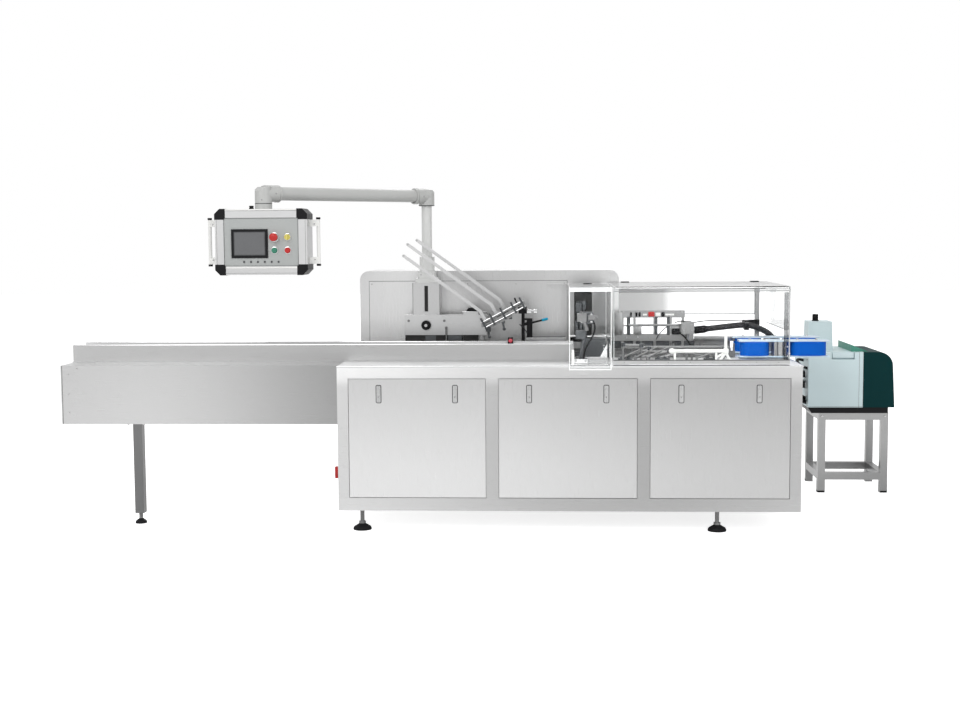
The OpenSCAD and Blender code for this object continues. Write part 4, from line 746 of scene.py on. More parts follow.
class CARTONER_OT_cabinet(bpy.types.Operator):
    """Add the locks' key ways and surrounds in painted shade, the threads of the feet and the seams of the
    cabinets, with painted shadow lines at the bracket's edges.
    """
    bl_idname = "cartoner.cabinet"
    bl_label = "Cabinet fittings"

    def execute(self, context):
        return add_pieces(self, {
            "Lock shadow surrounds": ("black_rubber", "shadow"),
            "Lock keys": ("bright_steel", "zinc"),
            "Lock key ways": ("black_rubber", "shadow"),
            "Foot threads": ("bright_steel", "dark_zinc"),
            "Foot rubber": ("black_rubber", "rubber"),
            "Table seam": ("stainless", "bright"),
            "Cover screws": ("bright_steel", "zinc"),
            "Cover seams": ("black_rubber", "seam"),
            "Switch grip": ("stop_red", "red", "main_switch"),
            "Switch screws": ("bright_steel", "zinc"),
        })

    def locks(self):
        """Each lock's direction, width and height, and the middles of its back and its face."""
        middle = within("base_housing", 0.5, 0.5, 0.5).y
        for low, high in solids("panel_latches"):
            out, face = (FRONT, 0.0) if low.y < middle else (BACK, 1.0)
            yield (out, high.x - low.x, high.z - low.z, within((low, high), 0.5, 1.0 - face, 0.5),
                   within((low, high), 0.5, face, 0.5))

    def lock_shadow_surrounds(self, bm):
        # Painted shade: a dark rim round each lock, where it sits in its recess.
        rim, corner = 0.0035, 0.008
        for out, wide, high, back, face in self.locks():
            tablet(bm, back, out, UP, wide + 2 * rim, high + 2 * rim, fitting().proud * 2, corner)

    def lock_keys(self, bm):
        for out, wide, high, back, face in self.locks():
            for share in (0.43, -0.43):
                screw(bm, face + UP * high * share - out * 0.005, out, wide * 0.14)
            for share in (0.22, 0.05):
                tablet(bm, face + UP * high * share, out, UP, wide * 0.5, high * 0.1, 0.0012, 0.001)
            turned(bm, face - UP * high * 0.18, out,
                   [(0.0, 0.0), (wide * 0.24, 0.0), (wide * 0.24, 0.003), (wide * 0.18, 0.004), (0.0, 0.004)])

    def lock_key_ways(self, bm):
        # Painted shade: a dark inlay in each key way.
        for out, wide, high, back, face in self.locks():
            tablet(bm, face - UP * high * 0.18 + out * 0.004, out, UP, wide * 0.1, wide * 0.3,
                   fitting().proud, wide * 0.04)

    def foot_threads(self, bm):
        pitch, radius, wire = 0.004, 0.0102, 0.0009
        for low, high in solids("foot_screws"):
            middle = (low + high) / 2
            for k in range(int((high.z - low.z) / pitch) - 1):
                hoop(bm, (middle.x, middle.y, high.z - pitch - k * pitch), UP, radius, wire, 16, 6)

    def foot_rubber(self, bm):
        for low, high in solids("levelling_feet"):
            radius, middle = (high.x - low.x) / 2, (low + high) / 2
            turned(bm, (middle.x, middle.y, 0.0), UP,
                   [(radius * 0.9, 0.0), (radius, 0.0008), (radius, 0.006), (radius * 0.985, 0.0075)], 32)
            hoop(bm, (middle.x, middle.y, high.z * 0.86), UP, radius * 0.45, 0.0012)

    def table_seam(self, bm):
        for start, end in (((0, 0), (1, 0)), ((1, 0), (1, 1)), ((0, 1), (1, 1))):
            rod(bm, within("table_top", *start, 1), within("table_top", *end, 1), 0.0012, 8)

    def cover_screws(self, bm):
        low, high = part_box("cabinet_cover")
        inset, rows = 0.014, 5
        for k, z in product(range(rows), (low.z + inset, high.z - inset)):
            small_screw(bm, (low.x + inset + k * (high.x - low.x - 2 * inset) / (rows - 1), low.y, z), FRONT)
        for x, z in ((0.028, 0.2), (0.028, 0.52), (0.028, 0.85), (0.06, 0.95)):
            small_screw(bm, within("conveyor_body", x, 0.0, z), FRONT)
            small_screw(bm, within("conveyor_body", x, 1.0, z), BACK)

    def cover_seams(self, bm):
        # Dark seams round the cabinet's cover and on the conveyor's sheet; the two bars at the arm bracket's
        # edges are painted shadow lines.
        wide, inset = 0.0025, 0.006
        room = Vector((wide, 0.0, wide))
        low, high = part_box("cabinet_cover")
        bars(bm, (low - room, high + room), high.y, wide, -fitting().proud)
        low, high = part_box("arm_bracket")
        for x in (low.x, high.x - wide):
            block(bm, (x, low.y - fitting().proud, low.z), (x + wide, low.y, high.z))
        low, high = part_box("conveyor_body")
        for near in (low.y - fitting().proud, high.y):
            block(bm, (low.x + inset, near, low.z), (low.x + inset + wide, near + fitting().proud, high.z))

    def switch_grip(self, bm):
        low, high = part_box("main_switch")
        middle, wide, tall, deep = (low + high) / 2, 0.009, 0.031, 0.018
        block(bm, (low.x - deep, middle.y - wide, middle.z - tall),
              (low.x + 0.001, middle.y + wide, middle.z + tall), 0.004)

    def switch_screws(self, bm):
        for y, z in product((0.12, 0.88), repeat=2):
            small_screw(bm, within("switch_plate", 0.0, y, z), LEFT)


class CARTONER_OT_conveyor(bpy.types.Operator):
    """Add the chain's links, the flights' rivets and the guides' screws."""
    bl_idname = "cartoner.conveyor"
    bl_label = "Conveyor fittings"

    def execute(self, context):
        inner = guides()[1][0].y
        # Painted light: the rear guide's inner face gets a pale matt colour in place of its dark steel.
        recolour("guide_plates", "guide_inner", lambda point: abs(point.y - inner) < 0.002)
        return add_pieces(self, {
            "Chain link plates": ("chain_steel", "chain"),
            "Flight rivets": ("bright_steel", "zinc"),
            "Guide screws": ("bright_steel", "zinc"),
            "Guide edges": ("stainless", "bright"),
            "Leg bolts": ("bright_steel", "zinc"),
            "Shaft bearings": ("chain_steel", "cast"),
        })

    def chain_link_plates(self, bm):
        low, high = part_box("infeed_chain")
        radius, axis_z = (high.z - low.z) / 2, (high.z + low.z) / 2
        pitch_radius, plate_w, plate_t, pin = radius - 0.006, 0.011, 0.0016, 0.0028
        turn, run = math.pi * pitch_radius, high.x - low.x - 2 * radius
        link = turn / 4
        for k in range(round(2 * (run + turn) / link)):
            ends = [self.on_pitch(low.x + radius, run, axis_z, pitch_radius, (k + step) * link)
                    for step in (0.5, 1.5)]
            for y, out in ((low.y, FRONT), (high.y, BACK)):
                start, end = [Vector((x, y, z)) for x, z in ends]
                reach = end - start
                tablet(bm, (start + end) / 2 + out * plate_t * (k % 2), out, reach, plate_w,
                       reach.length + plate_w, plate_t, plate_w * 0.49, 3)
                rod(bm, start, start + out * plate_t * 3, pin, 8)

    def on_pitch(self, left, run, axis_z, radius, way):
        """A place on the chain's pitch line at a distance along it."""
        turn = math.pi * radius
        way = way % (2 * (run + turn))
        if way < run:
            return left + way, axis_z + radius
        way -= run
        if way < turn:
            angle = math.pi / 2 - way / radius
            return left + run + radius * math.cos(angle), axis_z + radius * math.sin(angle)
        way -= turn
        if way < run:
            return left + run - way, axis_z - radius
        angle = -math.pi / 2 - (way - run) / radius
        return left + radius * math.cos(angle), axis_z + radius * math.sin(angle)

    def flight_rivets(self, bm):
        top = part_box("infeed_chain")[1].z
        for low, high in solids("chain_flights"):
            upright = high.z - low.z > 0.05 and high.x - low.x < 0.05
            if upright and low.z > top - 0.01:
                for y in (0.4, 0.6):
                    turned(bm, within((low, high), 0.7, y, 0.0) + UP * 0.003, UP,
                           [(0.0, 0.0), (0.004, 0.0), (0.003, 0.002), (0.0, 0.0026)], 12)

    def guide_screws(self, bm):
        step, inset, thick = 0.36, 0.012, 0.003
        front, rear = guides()
        for (low, high), y in ((front, front[0].y + inset), (rear, rear[1].y - inset)):
            for k in range(int((high.x - low.x) / step)):
                small_screw(bm, (low.x + (k + 0.35) * step, y, low.z + thick), UP)

    def guide_edges(self, bm):
        half, radius = 0.0015, 0.0018
        front, rear = guides()
        for (low, high), y in ((front, front[1].y - half), (rear, rear[0].y + half)):
            rod(bm, (low.x, y, high.z), (high.x, y, high.z), radius, 8)

    def leg_bolts(self, bm):
        for x, y in product((0.12, 0.88), repeat=2):
            nut(bm, within("conveyor_leg", x, y, 1.0) + DOWN * 0.008, DOWN, fitting().bolt, 0.007)

    def shaft_bearings(self, bm):
        low, high = solids("chain_sprockets")[0]
        middle, sheet = (low + high) / 2, 0.003
        for y, out in ((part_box("conveyor_body")[0].y + sheet, BACK), (high.y, FRONT)):
            turned(bm, (middle.x, y, middle.z), out,
                   [(0.0, 0.0), (0.045, 0.0), (0.045, 0.008), (0.032, 0.012), (0.028, 0.024),
                    (0.0145, 0.024)], 32)


class CARTONER_OT_panel(bpy.types.Operator):
    """Add the screen's glass, the keys, the collars of the buttons and the panel's screws."""
    bl_idname = "cartoner.panel"
    bl_label = "Operator panel"

    def execute(self, context):
        middle = within("push_buttons", 0.5, 0.5, 0.5)
        recolour("push_buttons", "yellow", lambda point: point.z > middle.z)
        recolour("push_buttons", "red", lambda point: point.z < middle.z and point.x > middle.x)
        recolour("panel_coupling", "black", inside(solids("panel_coupling")[0]))
        return add_pieces(self, {
            "Screen rim": ("black_plastic", "bezel"),
            "Screen glass": ("screen_dark", "lit_glass"),
            "Panel keys": ("black_plastic", "bezel"),
            "Button collars": ("black_plastic", "zinc"),
            "Stop button dome": ("stop_red", "red"),
            "Panel seams": ("black_plastic", "seam"),
            "Profile lip highlights": ("panel_aluminium", "white"),
            "Panel screws": ("bright_steel", "zinc"),
            "Panel back plate": ("panel_grey", "plate"),
            "Gland thread": ("black_plastic", "black"),
        }, "operator_panel")

    def inlay(self, bm, inset, proud, corner):
        low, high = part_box("screen")
        tablet(bm, within("screen", 0.5, 0.0, 0.5), FRONT, UP, high.x - low.x - 2 * inset,
               high.z - low.z - 2 * inset, proud, corner)

    def screen_rim(self, bm):
        self.inlay(bm, 0.013, fitting().proud, 0.003)

    def screen_glass(self, bm):
        self.inlay(bm, 0.017, fitting().proud * 2, 0.002)

    def panel_keys(self, bm):
        screen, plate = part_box("screen"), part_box("panel_plate")
        first, count, step, wide, high = -0.449, 6, 0.0348, 0.0085, 0.0105
        for k in range(count):
            foot = (CORNER.x + first + k * step, plate[0].y, (screen[0].z + plate[0].z) / 2)
            tablet(bm, foot, FRONT, UP, wide, high, 0.003, 0.002)

    def button_collars(self, bm):
        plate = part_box("panel_plate")[0].y
        for low, high in solids("push_buttons") + [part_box("stop_button")]:
            middle, radius = (low + high) / 2, (high.x - low.x) / 2
            turned(bm, (middle.x, plate, middle.z), FRONT,
                   [(radius, 0.0), (radius + 0.0035, 0.0), (radius + 0.003, 0.0025), (radius, 0.0035)], 32)

    def stop_button_dome(self, bm):
        low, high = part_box("stop_button")
        radius = (high.x - low.x) / 2
        turned(bm, within("stop_button", 0.5, 0.0, 0.5), FRONT,
               [(radius * 0.92, -0.001), (radius * 0.8, 0.0015), (radius * 0.5, 0.003), (0.0, 0.0036)], 32)

    def panel_seams(self, bm):
        # Painted shade: dark bars round the sunk plate's border and dark inlays for the profile's grooves.
        low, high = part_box("panel_plate")
        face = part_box("panel_box")[0].y
        rim, groove, inset, cap = 0.0022, 0.0012, 0.008, 0.05
        room = Vector((rim, 0.0, rim))
        bars(bm, (low - room, high + room), face, rim, -fitting().proud)
        low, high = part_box("panel_box")
        near = face - fitting().proud
        for z in (low.z + inset, high.z - inset - groove):
            block(bm, (low.x + cap, near, z), (high.x - cap, face, z + groove))
        for x in (low.x + inset, high.x - inset - groove):
            block(bm, (x, near, low.z + cap), (x + groove, face, high.z - cap))

    def profile_lip_highlights(self, bm):
        # Painted highlight: a white bar along each lip of the profile, where its chamfer catches the light.
        low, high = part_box("panel_box")
        cap, lip = 0.052, 0.004
        for z in (high.z - lip, low.z + 0.036):
            rod(bm, (low.x + cap, low.y + lip * 0.4, z), (high.x - cap, low.y + lip * 0.4, z), lip)

    def panel_screws(self, bm):
        for box, z in product(solids("grab_handles"), (0.1, 0.9)):
            small_screw(bm, within(box, 0.5, 0.0, z), FRONT)
        for low, high in solids("panel_corners"):
            if high.z - low.z > 0.03:
                small_screw(bm, within((low, high), 0.5, 1.0, 0.5) + FRONT * 0.001, BACK)

    def panel_back_plate(self, bm):
        low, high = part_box("panel_box")
        inset, thick = 0.05, 0.0018
        block(bm, (low.x + inset, high.y, low.z + inset), (high.x - inset, high.y + thick, high.z - inset),
              thick / 3)

    def gland_thread(self, bm):
        box = solids("panel_coupling")[0]
        for share in (0.25, 0.75):
            middle = within(box, 0.5, 0.5, share)
            rod(bm, middle + DOWN * 0.003, middle + UP * 0.003, (box[1].x - box[0].x) * 0.62, 6)


class CARTONER_OT_arm(bpy.types.Operator):
    """Add the seals with their painted shadow lines, the collars, the bolts and the slot of the swivel arm,
    dark with painted shade.
    """
    bl_idname = "cartoner.arm"
    bl_label = "Swivel arm"

    def execute(self, context):
        return add_pieces(self, {
            "Arm seal shadows": ("black_rubber", "seam", "arm"),
            "Arm collars": ("arm_grey", "arm", "arm"),
            "Arm set screws": ("bright_steel", "zinc", "arm"),
            "Arm base bolts": ("bright_steel", "zinc"),
            "Bracket slot": ("black_rubber", "shadow"),
        })

    def ends(self):
        """The arm's two ends with the direction to the other end, its radius and its lowest height."""
        low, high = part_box("arm_tube")
        column = within("arm_column", 0.5, 0.5, 0.0)
        panel = within(solids("panel_coupling")[1], 0.5, 0.5, 0.0)
        radius = high.x - column.x
        column.z = panel.z = high.z - radius
        way = (panel - column).normalized()
        return ((column, way), (panel, -way)), radius, low.z

    def arm_seal_shadows(self, bm):
        # Painted shadow line: a dark ring at each joint under the elbows, which also stands for a seal.
        ends, radius, low = self.ends()
        for foot, way in ends:
            turned(bm, (foot.x, foot.y, low), UP,
                   [(radius * 0.6, -0.001), (radius * 0.985, -0.001), (radius * 1.01, 0.0005),
                    (radius * 1.01, 0.003), (radius * 0.6, 0.003)], 40)

    def arm_collars(self, bm):
        ends, radius, low = self.ends()
        stub, wide = 0.078, 0.012
        for (foot, way), reach in product(ends, (stub - wide, stub + 0.001)):
            turned(bm, foot + way * reach, way,
                   [(radius * 0.7, 0.0), (radius * 0.97, 0.0), (radius * 1.01, 0.002),
                    (radius * 1.01, wide * 0.6), (radius * 0.85, wide * 0.8)], 40)

    def arm_set_screws(self, bm):
        ends, radius, low = self.ends()
        side = ends[0][1].cross(UP)
        for foot, way in ends:
            small_screw(bm, foot + way * 0.05 - side * radius * 0.98, -side)
            small_screw(bm, (foot.x, foot.y - radius * 0.99, low + 0.02), FRONT)

    def arm_base_bolts(self, bm):
        low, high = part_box("arm_base")
        flange, inset = low.z + 0.024, 0.012
        for x, y in product((low.x + inset, high.x - inset), (low.y + inset, high.y - inset)):
            screw(bm, (x, y, flange - 0.001), UP, fitting().screw)
        for x in (-0.03, 0.03):
            small_screw(bm, ((low.x + high.x) / 2 + x, low.y + 0.0145, flange + 0.02), FRONT)

    def bracket_slot(self, bm):
        # Painted shade: a black block fills the bracket's slot.
        low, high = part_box("arm_bracket")
        middle, half, inset = (low.x + high.x) / 2, 0.0096, 0.0165
        block(bm, (middle - half, low.y + 0.0015, low.z + inset),
              (middle + half, low.y + 0.018, high.z - inset))


class CARTONER_OT_magazine(bpy.types.Operator):
    """Add the magazine's dark housing in painted shade under the beam, bolts, clamps, sensor and fittings."""
    bl_idname = "cartoner.magazine"
    bl_label = "Carton magazine"

    def execute(self, context):
        face = CORNER.y + 0.599
        recolour("magazine_beam", "dark_zinc", lambda point: point.y < face)
        wheel = within("handwheel", 0.5, 0.0, 0.5)
        recolour("handwheel", "zinc", lambda point: (point - wheel).length < 0.0125)
        add_pieces(self, {
            "Wheel ridges": ("black_plastic", "black", "handwheel"),
            "Beam housing": ("black_rubber", "shadow"),
            "Beam housing front": ("frame_steel", "cast"),
            "Beam wedge": ("black_plastic", "black"),
            "Beam strip": ("bright_steel", "bright"),
            "Mouth screws": ("bright_steel", "dark_zinc"),
            "Mouth clamps": ("chain_steel", "cast"),
            "Mouth slots": ("black_rubber", "shadow"),
            "Mouth bars": ("bright_steel", "bright"),
            "Mouth blocks": ("chain_steel", "cast"),
            "Rail end caps": ("bright_steel", "zinc"),
            "Carton sensor": ("black_plastic", "black"),
            "Sensor lens": ("stop_red", "lens"),
            "Air tube": ("black_rubber", "rubber"),
            "Air fitting": ("plate_blue", "cyan"),
            "Post blocks": ("bright_steel", "bright"),
        })
        route = ((0.3, 0.4, 0.55), (0.9, 0.0, 0.4), (1.05, 0.2, 0.2), (0.8, 0.3, 0.02))
        cable("Post cable", [within("magazine_post", *place) for place in route], fitting().wire)
        return {"FINISHED"}

    def wheel_ridges(self, bm):
        low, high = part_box("handwheel")
        radius, middle, count = (high.x - low.x) / 2, (low + high) / 2, 16
        back, front = high.y - 0.002, high.y - 0.0155
        for k in range(count):
            turn = 2 * math.pi * k / count
            x, z = middle.x + radius * 0.975 * math.cos(turn), middle.z + radius * 0.975 * math.sin(turn)
            rod(bm, (x, front, z), (x, back, z), 0.0017, 8)
        hoop(bm, (middle.x, front, middle.z), FRONT, radius * 0.82, 0.0022, 32)

    def beam_housing(self, bm):
        # Painted shade: near black boxes fill the shaded space under the beam.
        blocks(bm, [((0.287, 0.606, 0.92), (0.596, 0.672, 0.9645), 0.0),
                    ((0.604, 0.606, 0.92), (0.686, 0.672, 0.9645), 0.0)])

    def beam_housing_front(self, bm):
        blocks(bm, [((0.397, 0.6045, 0.922), (0.455, 0.607, 0.9645), 0.0008),
                    ((0.52, 0.6045, 0.935), (0.596, 0.607, 0.9645), 0.0008)])

    def beam_wedge(self, bm):
        foot, wide, high, deep, slope = at(0.616, 0.63, 0.0), 0.062, 0.02, 0.034, 0.016
        foot.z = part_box("magazine_beam")[1].z
        outline = ((0.0, 0.0), (wide, 0.0), (wide, high), (slope, high))
        verts = [bm.verts.new(foot + Vector((x, y, z))) for (x, z), y in product(outline, (0.0, deep))]
        for quad in ((0, 1, 3, 2), (2, 3, 5, 4), (4, 5, 7, 6), (6, 7, 1, 0), (0, 2, 4, 6), (7, 5, 3, 1)):
            bm.faces.new([verts[k] for k in quad])

    def beam_strip(self, bm):
        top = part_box("magazine_beam")[1].z
        slab(bm, (0.6, 0.733), (CORNER.y + 0.602, CORNER.y + 0.63), (top - 0.001, top + 0.002), 0.0006)

    def mouth_line(self, share, drop):
        """A point on the mouth's front face at a share of its length and a distance below it."""
        slope, way = math.radians(28.0), 0.25 * share
        return at(0.716 + way * math.cos(slope) + drop * math.sin(slope), 0.495,
                  1.026 + way * math.sin(slope) - drop * math.cos(slope))

    def mouth_screws(self, bm):
        for drop, shares in ((0.0, (0.02, 0.3, 0.5, 0.66, 0.83, 0.99)), (0.03, (0.2, 0.34, 0.52, 0.6))):
            for share in shares:
                small_screw(bm, self.mouth_line(share, drop), FRONT)

    def mouth_clamps(self, bm):
        """Clamps with hanging studs below the low bar, as at the ends of the carton guides."""
        for share, size, stud in ((0.06, 0.026, 0.03), (0.42, 0.02, 0.034), (0.6, 0.018, 0.0)):
            centre = self.mouth_line(share, 0.036)
            block(bm, centre - Vector((size / 2, -0.001, size / 2)),
                  centre + Vector((size / 2, 0.022, size / 2)), 0.002)
            if stud:
                foot = centre + Vector((0.0, 0.011, -size / 2))
                rod(bm, foot, foot + Vector((0.006, 0.0, -stud)), 0.0055)
                nut(bm, foot + Vector((0.006, 0.0, -stud * 0.8)), DOWN, 0.01, 0.009)

    def mouth_bars(self, bm):
        """Two round bars along the front of the mouth."""
        forward = FRONT * 0.012
        for drop in (-0.012, 0.02):
            rod(bm, self.mouth_line(0.0, drop) + forward, self.mouth_line(1.0, drop) + forward, 0.0045)

    def mouth_blocks(self, bm):
        """Dark clamps that hold the two bars, each with a knob above."""
        across = self.mouth_line(0.0, -1.0) - self.mouth_line(0.0, 0.0)
        for share in (0.03, 0.24, 0.5, 0.76, 0.97):
            foot = self.mouth_line(share, 0.028)
            tablet(bm, foot + across * 0.024, FRONT, across, 0.011, 0.054, 0.019, 0.003)
            rod(bm, foot + across * 0.05 + FRONT * 0.01, foot + across * 0.064 + FRONT * 0.01, 0.005)

    def mouth_slots(self, bm):
        """Slots along the front bar, dark with painted shade."""
        way = self.mouth_line(1.0, 0.0) - self.mouth_line(0.0, 0.0)
        for share in (0.12, 0.4, 0.58, 0.75, 0.91):
            tablet(bm, self.mouth_line(share, 0.0), FRONT, way, 0.005, 0.03, fitting().proud, 0.002)

    def rail_end_caps(self, bm):
        half = 0.0085
        for low, high in solids("magazine_rails"):
            small_screw(bm, (low.x + half, low.y, high.z - half), FRONT)
            small_screw(bm, (low.x + half, high.y, high.z - half), BACK)

    def carton_sensor(self, bm):
        face = guides()[1][0].y
        slab(bm, (0.852, 0.88), (face - 0.02, face), (TABLE + 0.076, TABLE + 0.112), 0.002)
        slab(bm, (0.862, 0.87), (face - 0.006, face), (TABLE + 0.04, TABLE + 0.08), 0.001)

    def sensor_lens(self, bm):
        turned(bm, (CORNER.x + 0.866, guides()[1][0].y - 0.0198, TABLE + 0.094), FRONT,
               [(0.0105, 0.0), (0.0105, 0.003), (0.006, 0.0055), (0.0, 0.006)])

    def air_tube(self, bm):
        rods(bm, [((0.98, 0.566, 1.032), (1.036, 0.566, 1.046), 0.0052),
                  ((0.938, 0.566, 1.024), (0.982, 0.566, 1.033), 0.0085)])

    def air_fitting(self, bm):
        rods(bm, [((1.034, 0.566, 1.0455), (1.062, 0.566, 1.0525), 0.0075)], 6)
        rods(bm, [((1.058, 0.566, 1.0515), (1.066, 0.566, 1.0535), 0.0062)], 16)

    def post_blocks(self, bm):
        blocks(bm, [((0.951, 0.553, 1.084), (0.976, 0.579, 1.106), 0.002),
                    ((0.989, 0.553, 1.083), (1.006, 0.579, 1.106), 0.002)])
        rods(bm, [((0.976, 0.566, 1.094), (0.992, 0.566, 1.094), 0.006)], 16)
        for x in (0.957, 0.97):
            small_screw(bm, at(x, 0.553, 1.096), FRONT)


class CARTONER_OT_loader(bpy.types.Operator):
    """Add the drive behind the loader with its plates in painted shade, its lever's screws, hoses and blocks,
    and the painted shade of the low bay.
    """
    bl_idname = "cartoner.loader"
    bl_label = "Loader"

    def execute(self, context):
        edge, bar_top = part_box("loader_cover")[0].x - 0.001, 0.89
        # The tab takes the rear cabinet's finish, with its painted light and shade.
        recolour("loader_frame", "rear", lambda point: point.x < edge)
        recolour("loader_arm", "cast", lambda point: point.z > bar_top)
        add_pieces(self, {
            "Drive plate": ("black_rubber", "shadow"),
            "Drive blocks": ("chain_steel", "cast"),
            "Drive shield": ("frame_steel", "shield"),
            "Loader strips": ("bright_steel", "bright"),
            "Bridge slots": ("black_rubber", "shadow"),
            "Lever screws": ("bright_steel", "zinc"),
            "Lever clamp": ("bright_steel", "shield"),
            "Lever stop": ("handle_white", "white"),
            "Low bay shade": ("black_rubber", "cast"),
            "Cover edges": ("clear_cover", "edge", "loader_cover"),
            "Cover screws of the loader": ("bright_steel", "zinc", "loader_cover"),
        })
        route = ((0.55, 0.1, 0.84), (0.68, 0.05, 0.72), (0.5, 0.02, 0.45), (0.28, 0.05, 0.3),
                 (0.3, 0.1, 0.02))
        cable("Lever hose", [within("loader_arm", *place) for place in route], 0.0045)
        cables([("Drive cable", ((1.262, 0.536, 1.12), (1.285, 0.5, 1.05), (1.27, 0.49, 0.96),
                                 (1.262, 0.52, 0.862)), 0.004)])
        return {"FINISHED"}

    def on_back(self, bm, x, z, deep, round_off=0.001):
        """A plate or block in front of the bridge's face."""
        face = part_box("loader_frame")[0].y
        slab(bm, x, (face - deep, face), z, round_off)

    def drive_plate(self, bm):
        # Painted shade: near black plates behind the drive's blocks.
        self.on_back(bm, (1.207, 1.302), (0.965, 1.2), 0.004)
        self.on_back(bm, (1.18, 1.302), (0.93, 0.966), 0.004)

    def drive_blocks(self, bm):
        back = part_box("loader_frame")[0].y - 0.004
        for x, z, wide, high, deep in ((1.216, 1.09, 0.03, 0.05, 0.03), (1.25, 1.105, 0.02, 0.045, 0.02),
                                       (1.222, 1.045, 0.046, 0.024, 0.036), (1.212, 1.0, 0.018, 0.04, 0.02),
                                       (1.236, 1.0, 0.014, 0.04, 0.028)):
            slab(bm, (x, x + wide), (back - deep, back), (z, z + high), 0.003)
        for x in (1.226, 1.243, 1.258):
            rod(bm, (CORNER.x + x, back - 0.012, 0.975), (CORNER.x + x, back - 0.012, 1.15), 0.0045)

    def drive_shield(self, bm):
        thick = 0.003
        self.on_back(bm, (1.302, 1.376), (0.968, 1.213), thick)
        for z in (0.985, 1.195):
            small_screw(bm, (CORNER.x + 1.339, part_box("loader_frame")[0].y - thick, z), FRONT)

    def loader_strips(self, bm):
        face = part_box("loader_frame")[0].y
        slab(bm, (1.18, 1.376), (face - 0.03, face - 0.0005), (0.955, 0.966), 0.001)
        blocks(bm, [((1.18, 0.02, 0.849), (1.376, 0.052, 0.8545), 0.001)])

    def bridge_slots(self, bm):
        # Painted shade: dark inlays for the bridge's slots.
        for x in (1.2385, 1.3295):
            tablet(bm, (CORNER.x + x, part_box("loader_frame")[0].y, 1.237), FRONT, UP, 0.045, 0.009,
                   fitting().proud, 0.003)

    def lever_screws(self, bm):
        for x, z in product((1.2375, 1.2865), (1.066, 1.102)):
            screw(bm, at(x, 0.067, z), FRONT, fitting().screw)
        for x in (1.207, 1.257):
            screw(bm, (CORNER.x + x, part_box("loader_arm")[0].y, 0.87), FRONT, fitting().screw)
        for z in (0.92, 0.934):
            small_screw(bm, at(1.354, 0.23, z), FRONT)

    def lever_clamp(self, bm):
        """Bright clamp on the lever's head, with two knurled screws."""
        blocks(bm, [((1.214, 0.05, 1.066), (1.262, 0.068, 1.108), 0.003),
                    ((1.27, 0.05, 1.076), (1.306, 0.066, 1.1), 0.003)])
        for foot, out, radius, rim, high in (((1.306, 0.058, 1.088), RIGHT, 0.009, 0.012, 0.014),
                                             ((1.238, 0.058, 1.108), UP, 0.008, 0.009, 0.01)):
            turned(bm, at(*foot), out, [(0.0, 0.0), (radius, 0.0), (radius, rim), (0.0, high)], 16)
        rods(bm, [((1.25, 0.06, 1.066), (1.262, 0.058, 1.03), 0.008)])
        nut(bm, at(1.262, 0.052, 1.03), FRONT, 0.0105, 0.007)

    def lever_stop(self, bm):
        blocks(bm, [((1.186, 0.03, 0.8495), (1.2, 0.052, 0.912), 0.002)])
        rods(bm, [((1.193, 0.041, 0.912), (1.193, 0.041, 0.926), 0.006)])

    def low_bay_shade(self, bm):
        # Painted shade: dark plates in the shaded bay below the loader.
        blocks(bm, [((1.262, 0.486, 0.85), (1.374, 0.496, 0.952), 0.002),
                    ((1.21, 0.484, 0.85), (1.258, 0.496, 0.88), 0.002)])

    def cover_edges(self, bm):
        """Painted highlights on the edges of the clear cover, as a cut and polished sheet shows them, and a
        painted highlight band along its top.
        """
        low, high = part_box("loader_cover")
        thick, inset, band = 0.0018, 0.003, 0.02
        left, right, near = low.x + inset, high.x - inset, low.y + inset
        for x in (left, right):
            edge_line(bm, [(x, near, low.z), (x, near, high.z - inset), (x, high.y - inset, high.z - inset)],
                      thick)
        block(bm, (low.x + 0.001, low.y + 0.001, high.z - band),
              (high.x - 0.001, low.y + 0.005, high.z - 0.001))
        rod(bm, (left, near, low.z + inset), (right, near, low.z + inset), thick, 8)

    def cover_screws_of_the_loader(self, bm):
        for x in (0.2, 0.8):
            screw(bm, within("loader_hinge", x, 0.12, 1.0) + DOWN * 0.001, UP, 0.0028)


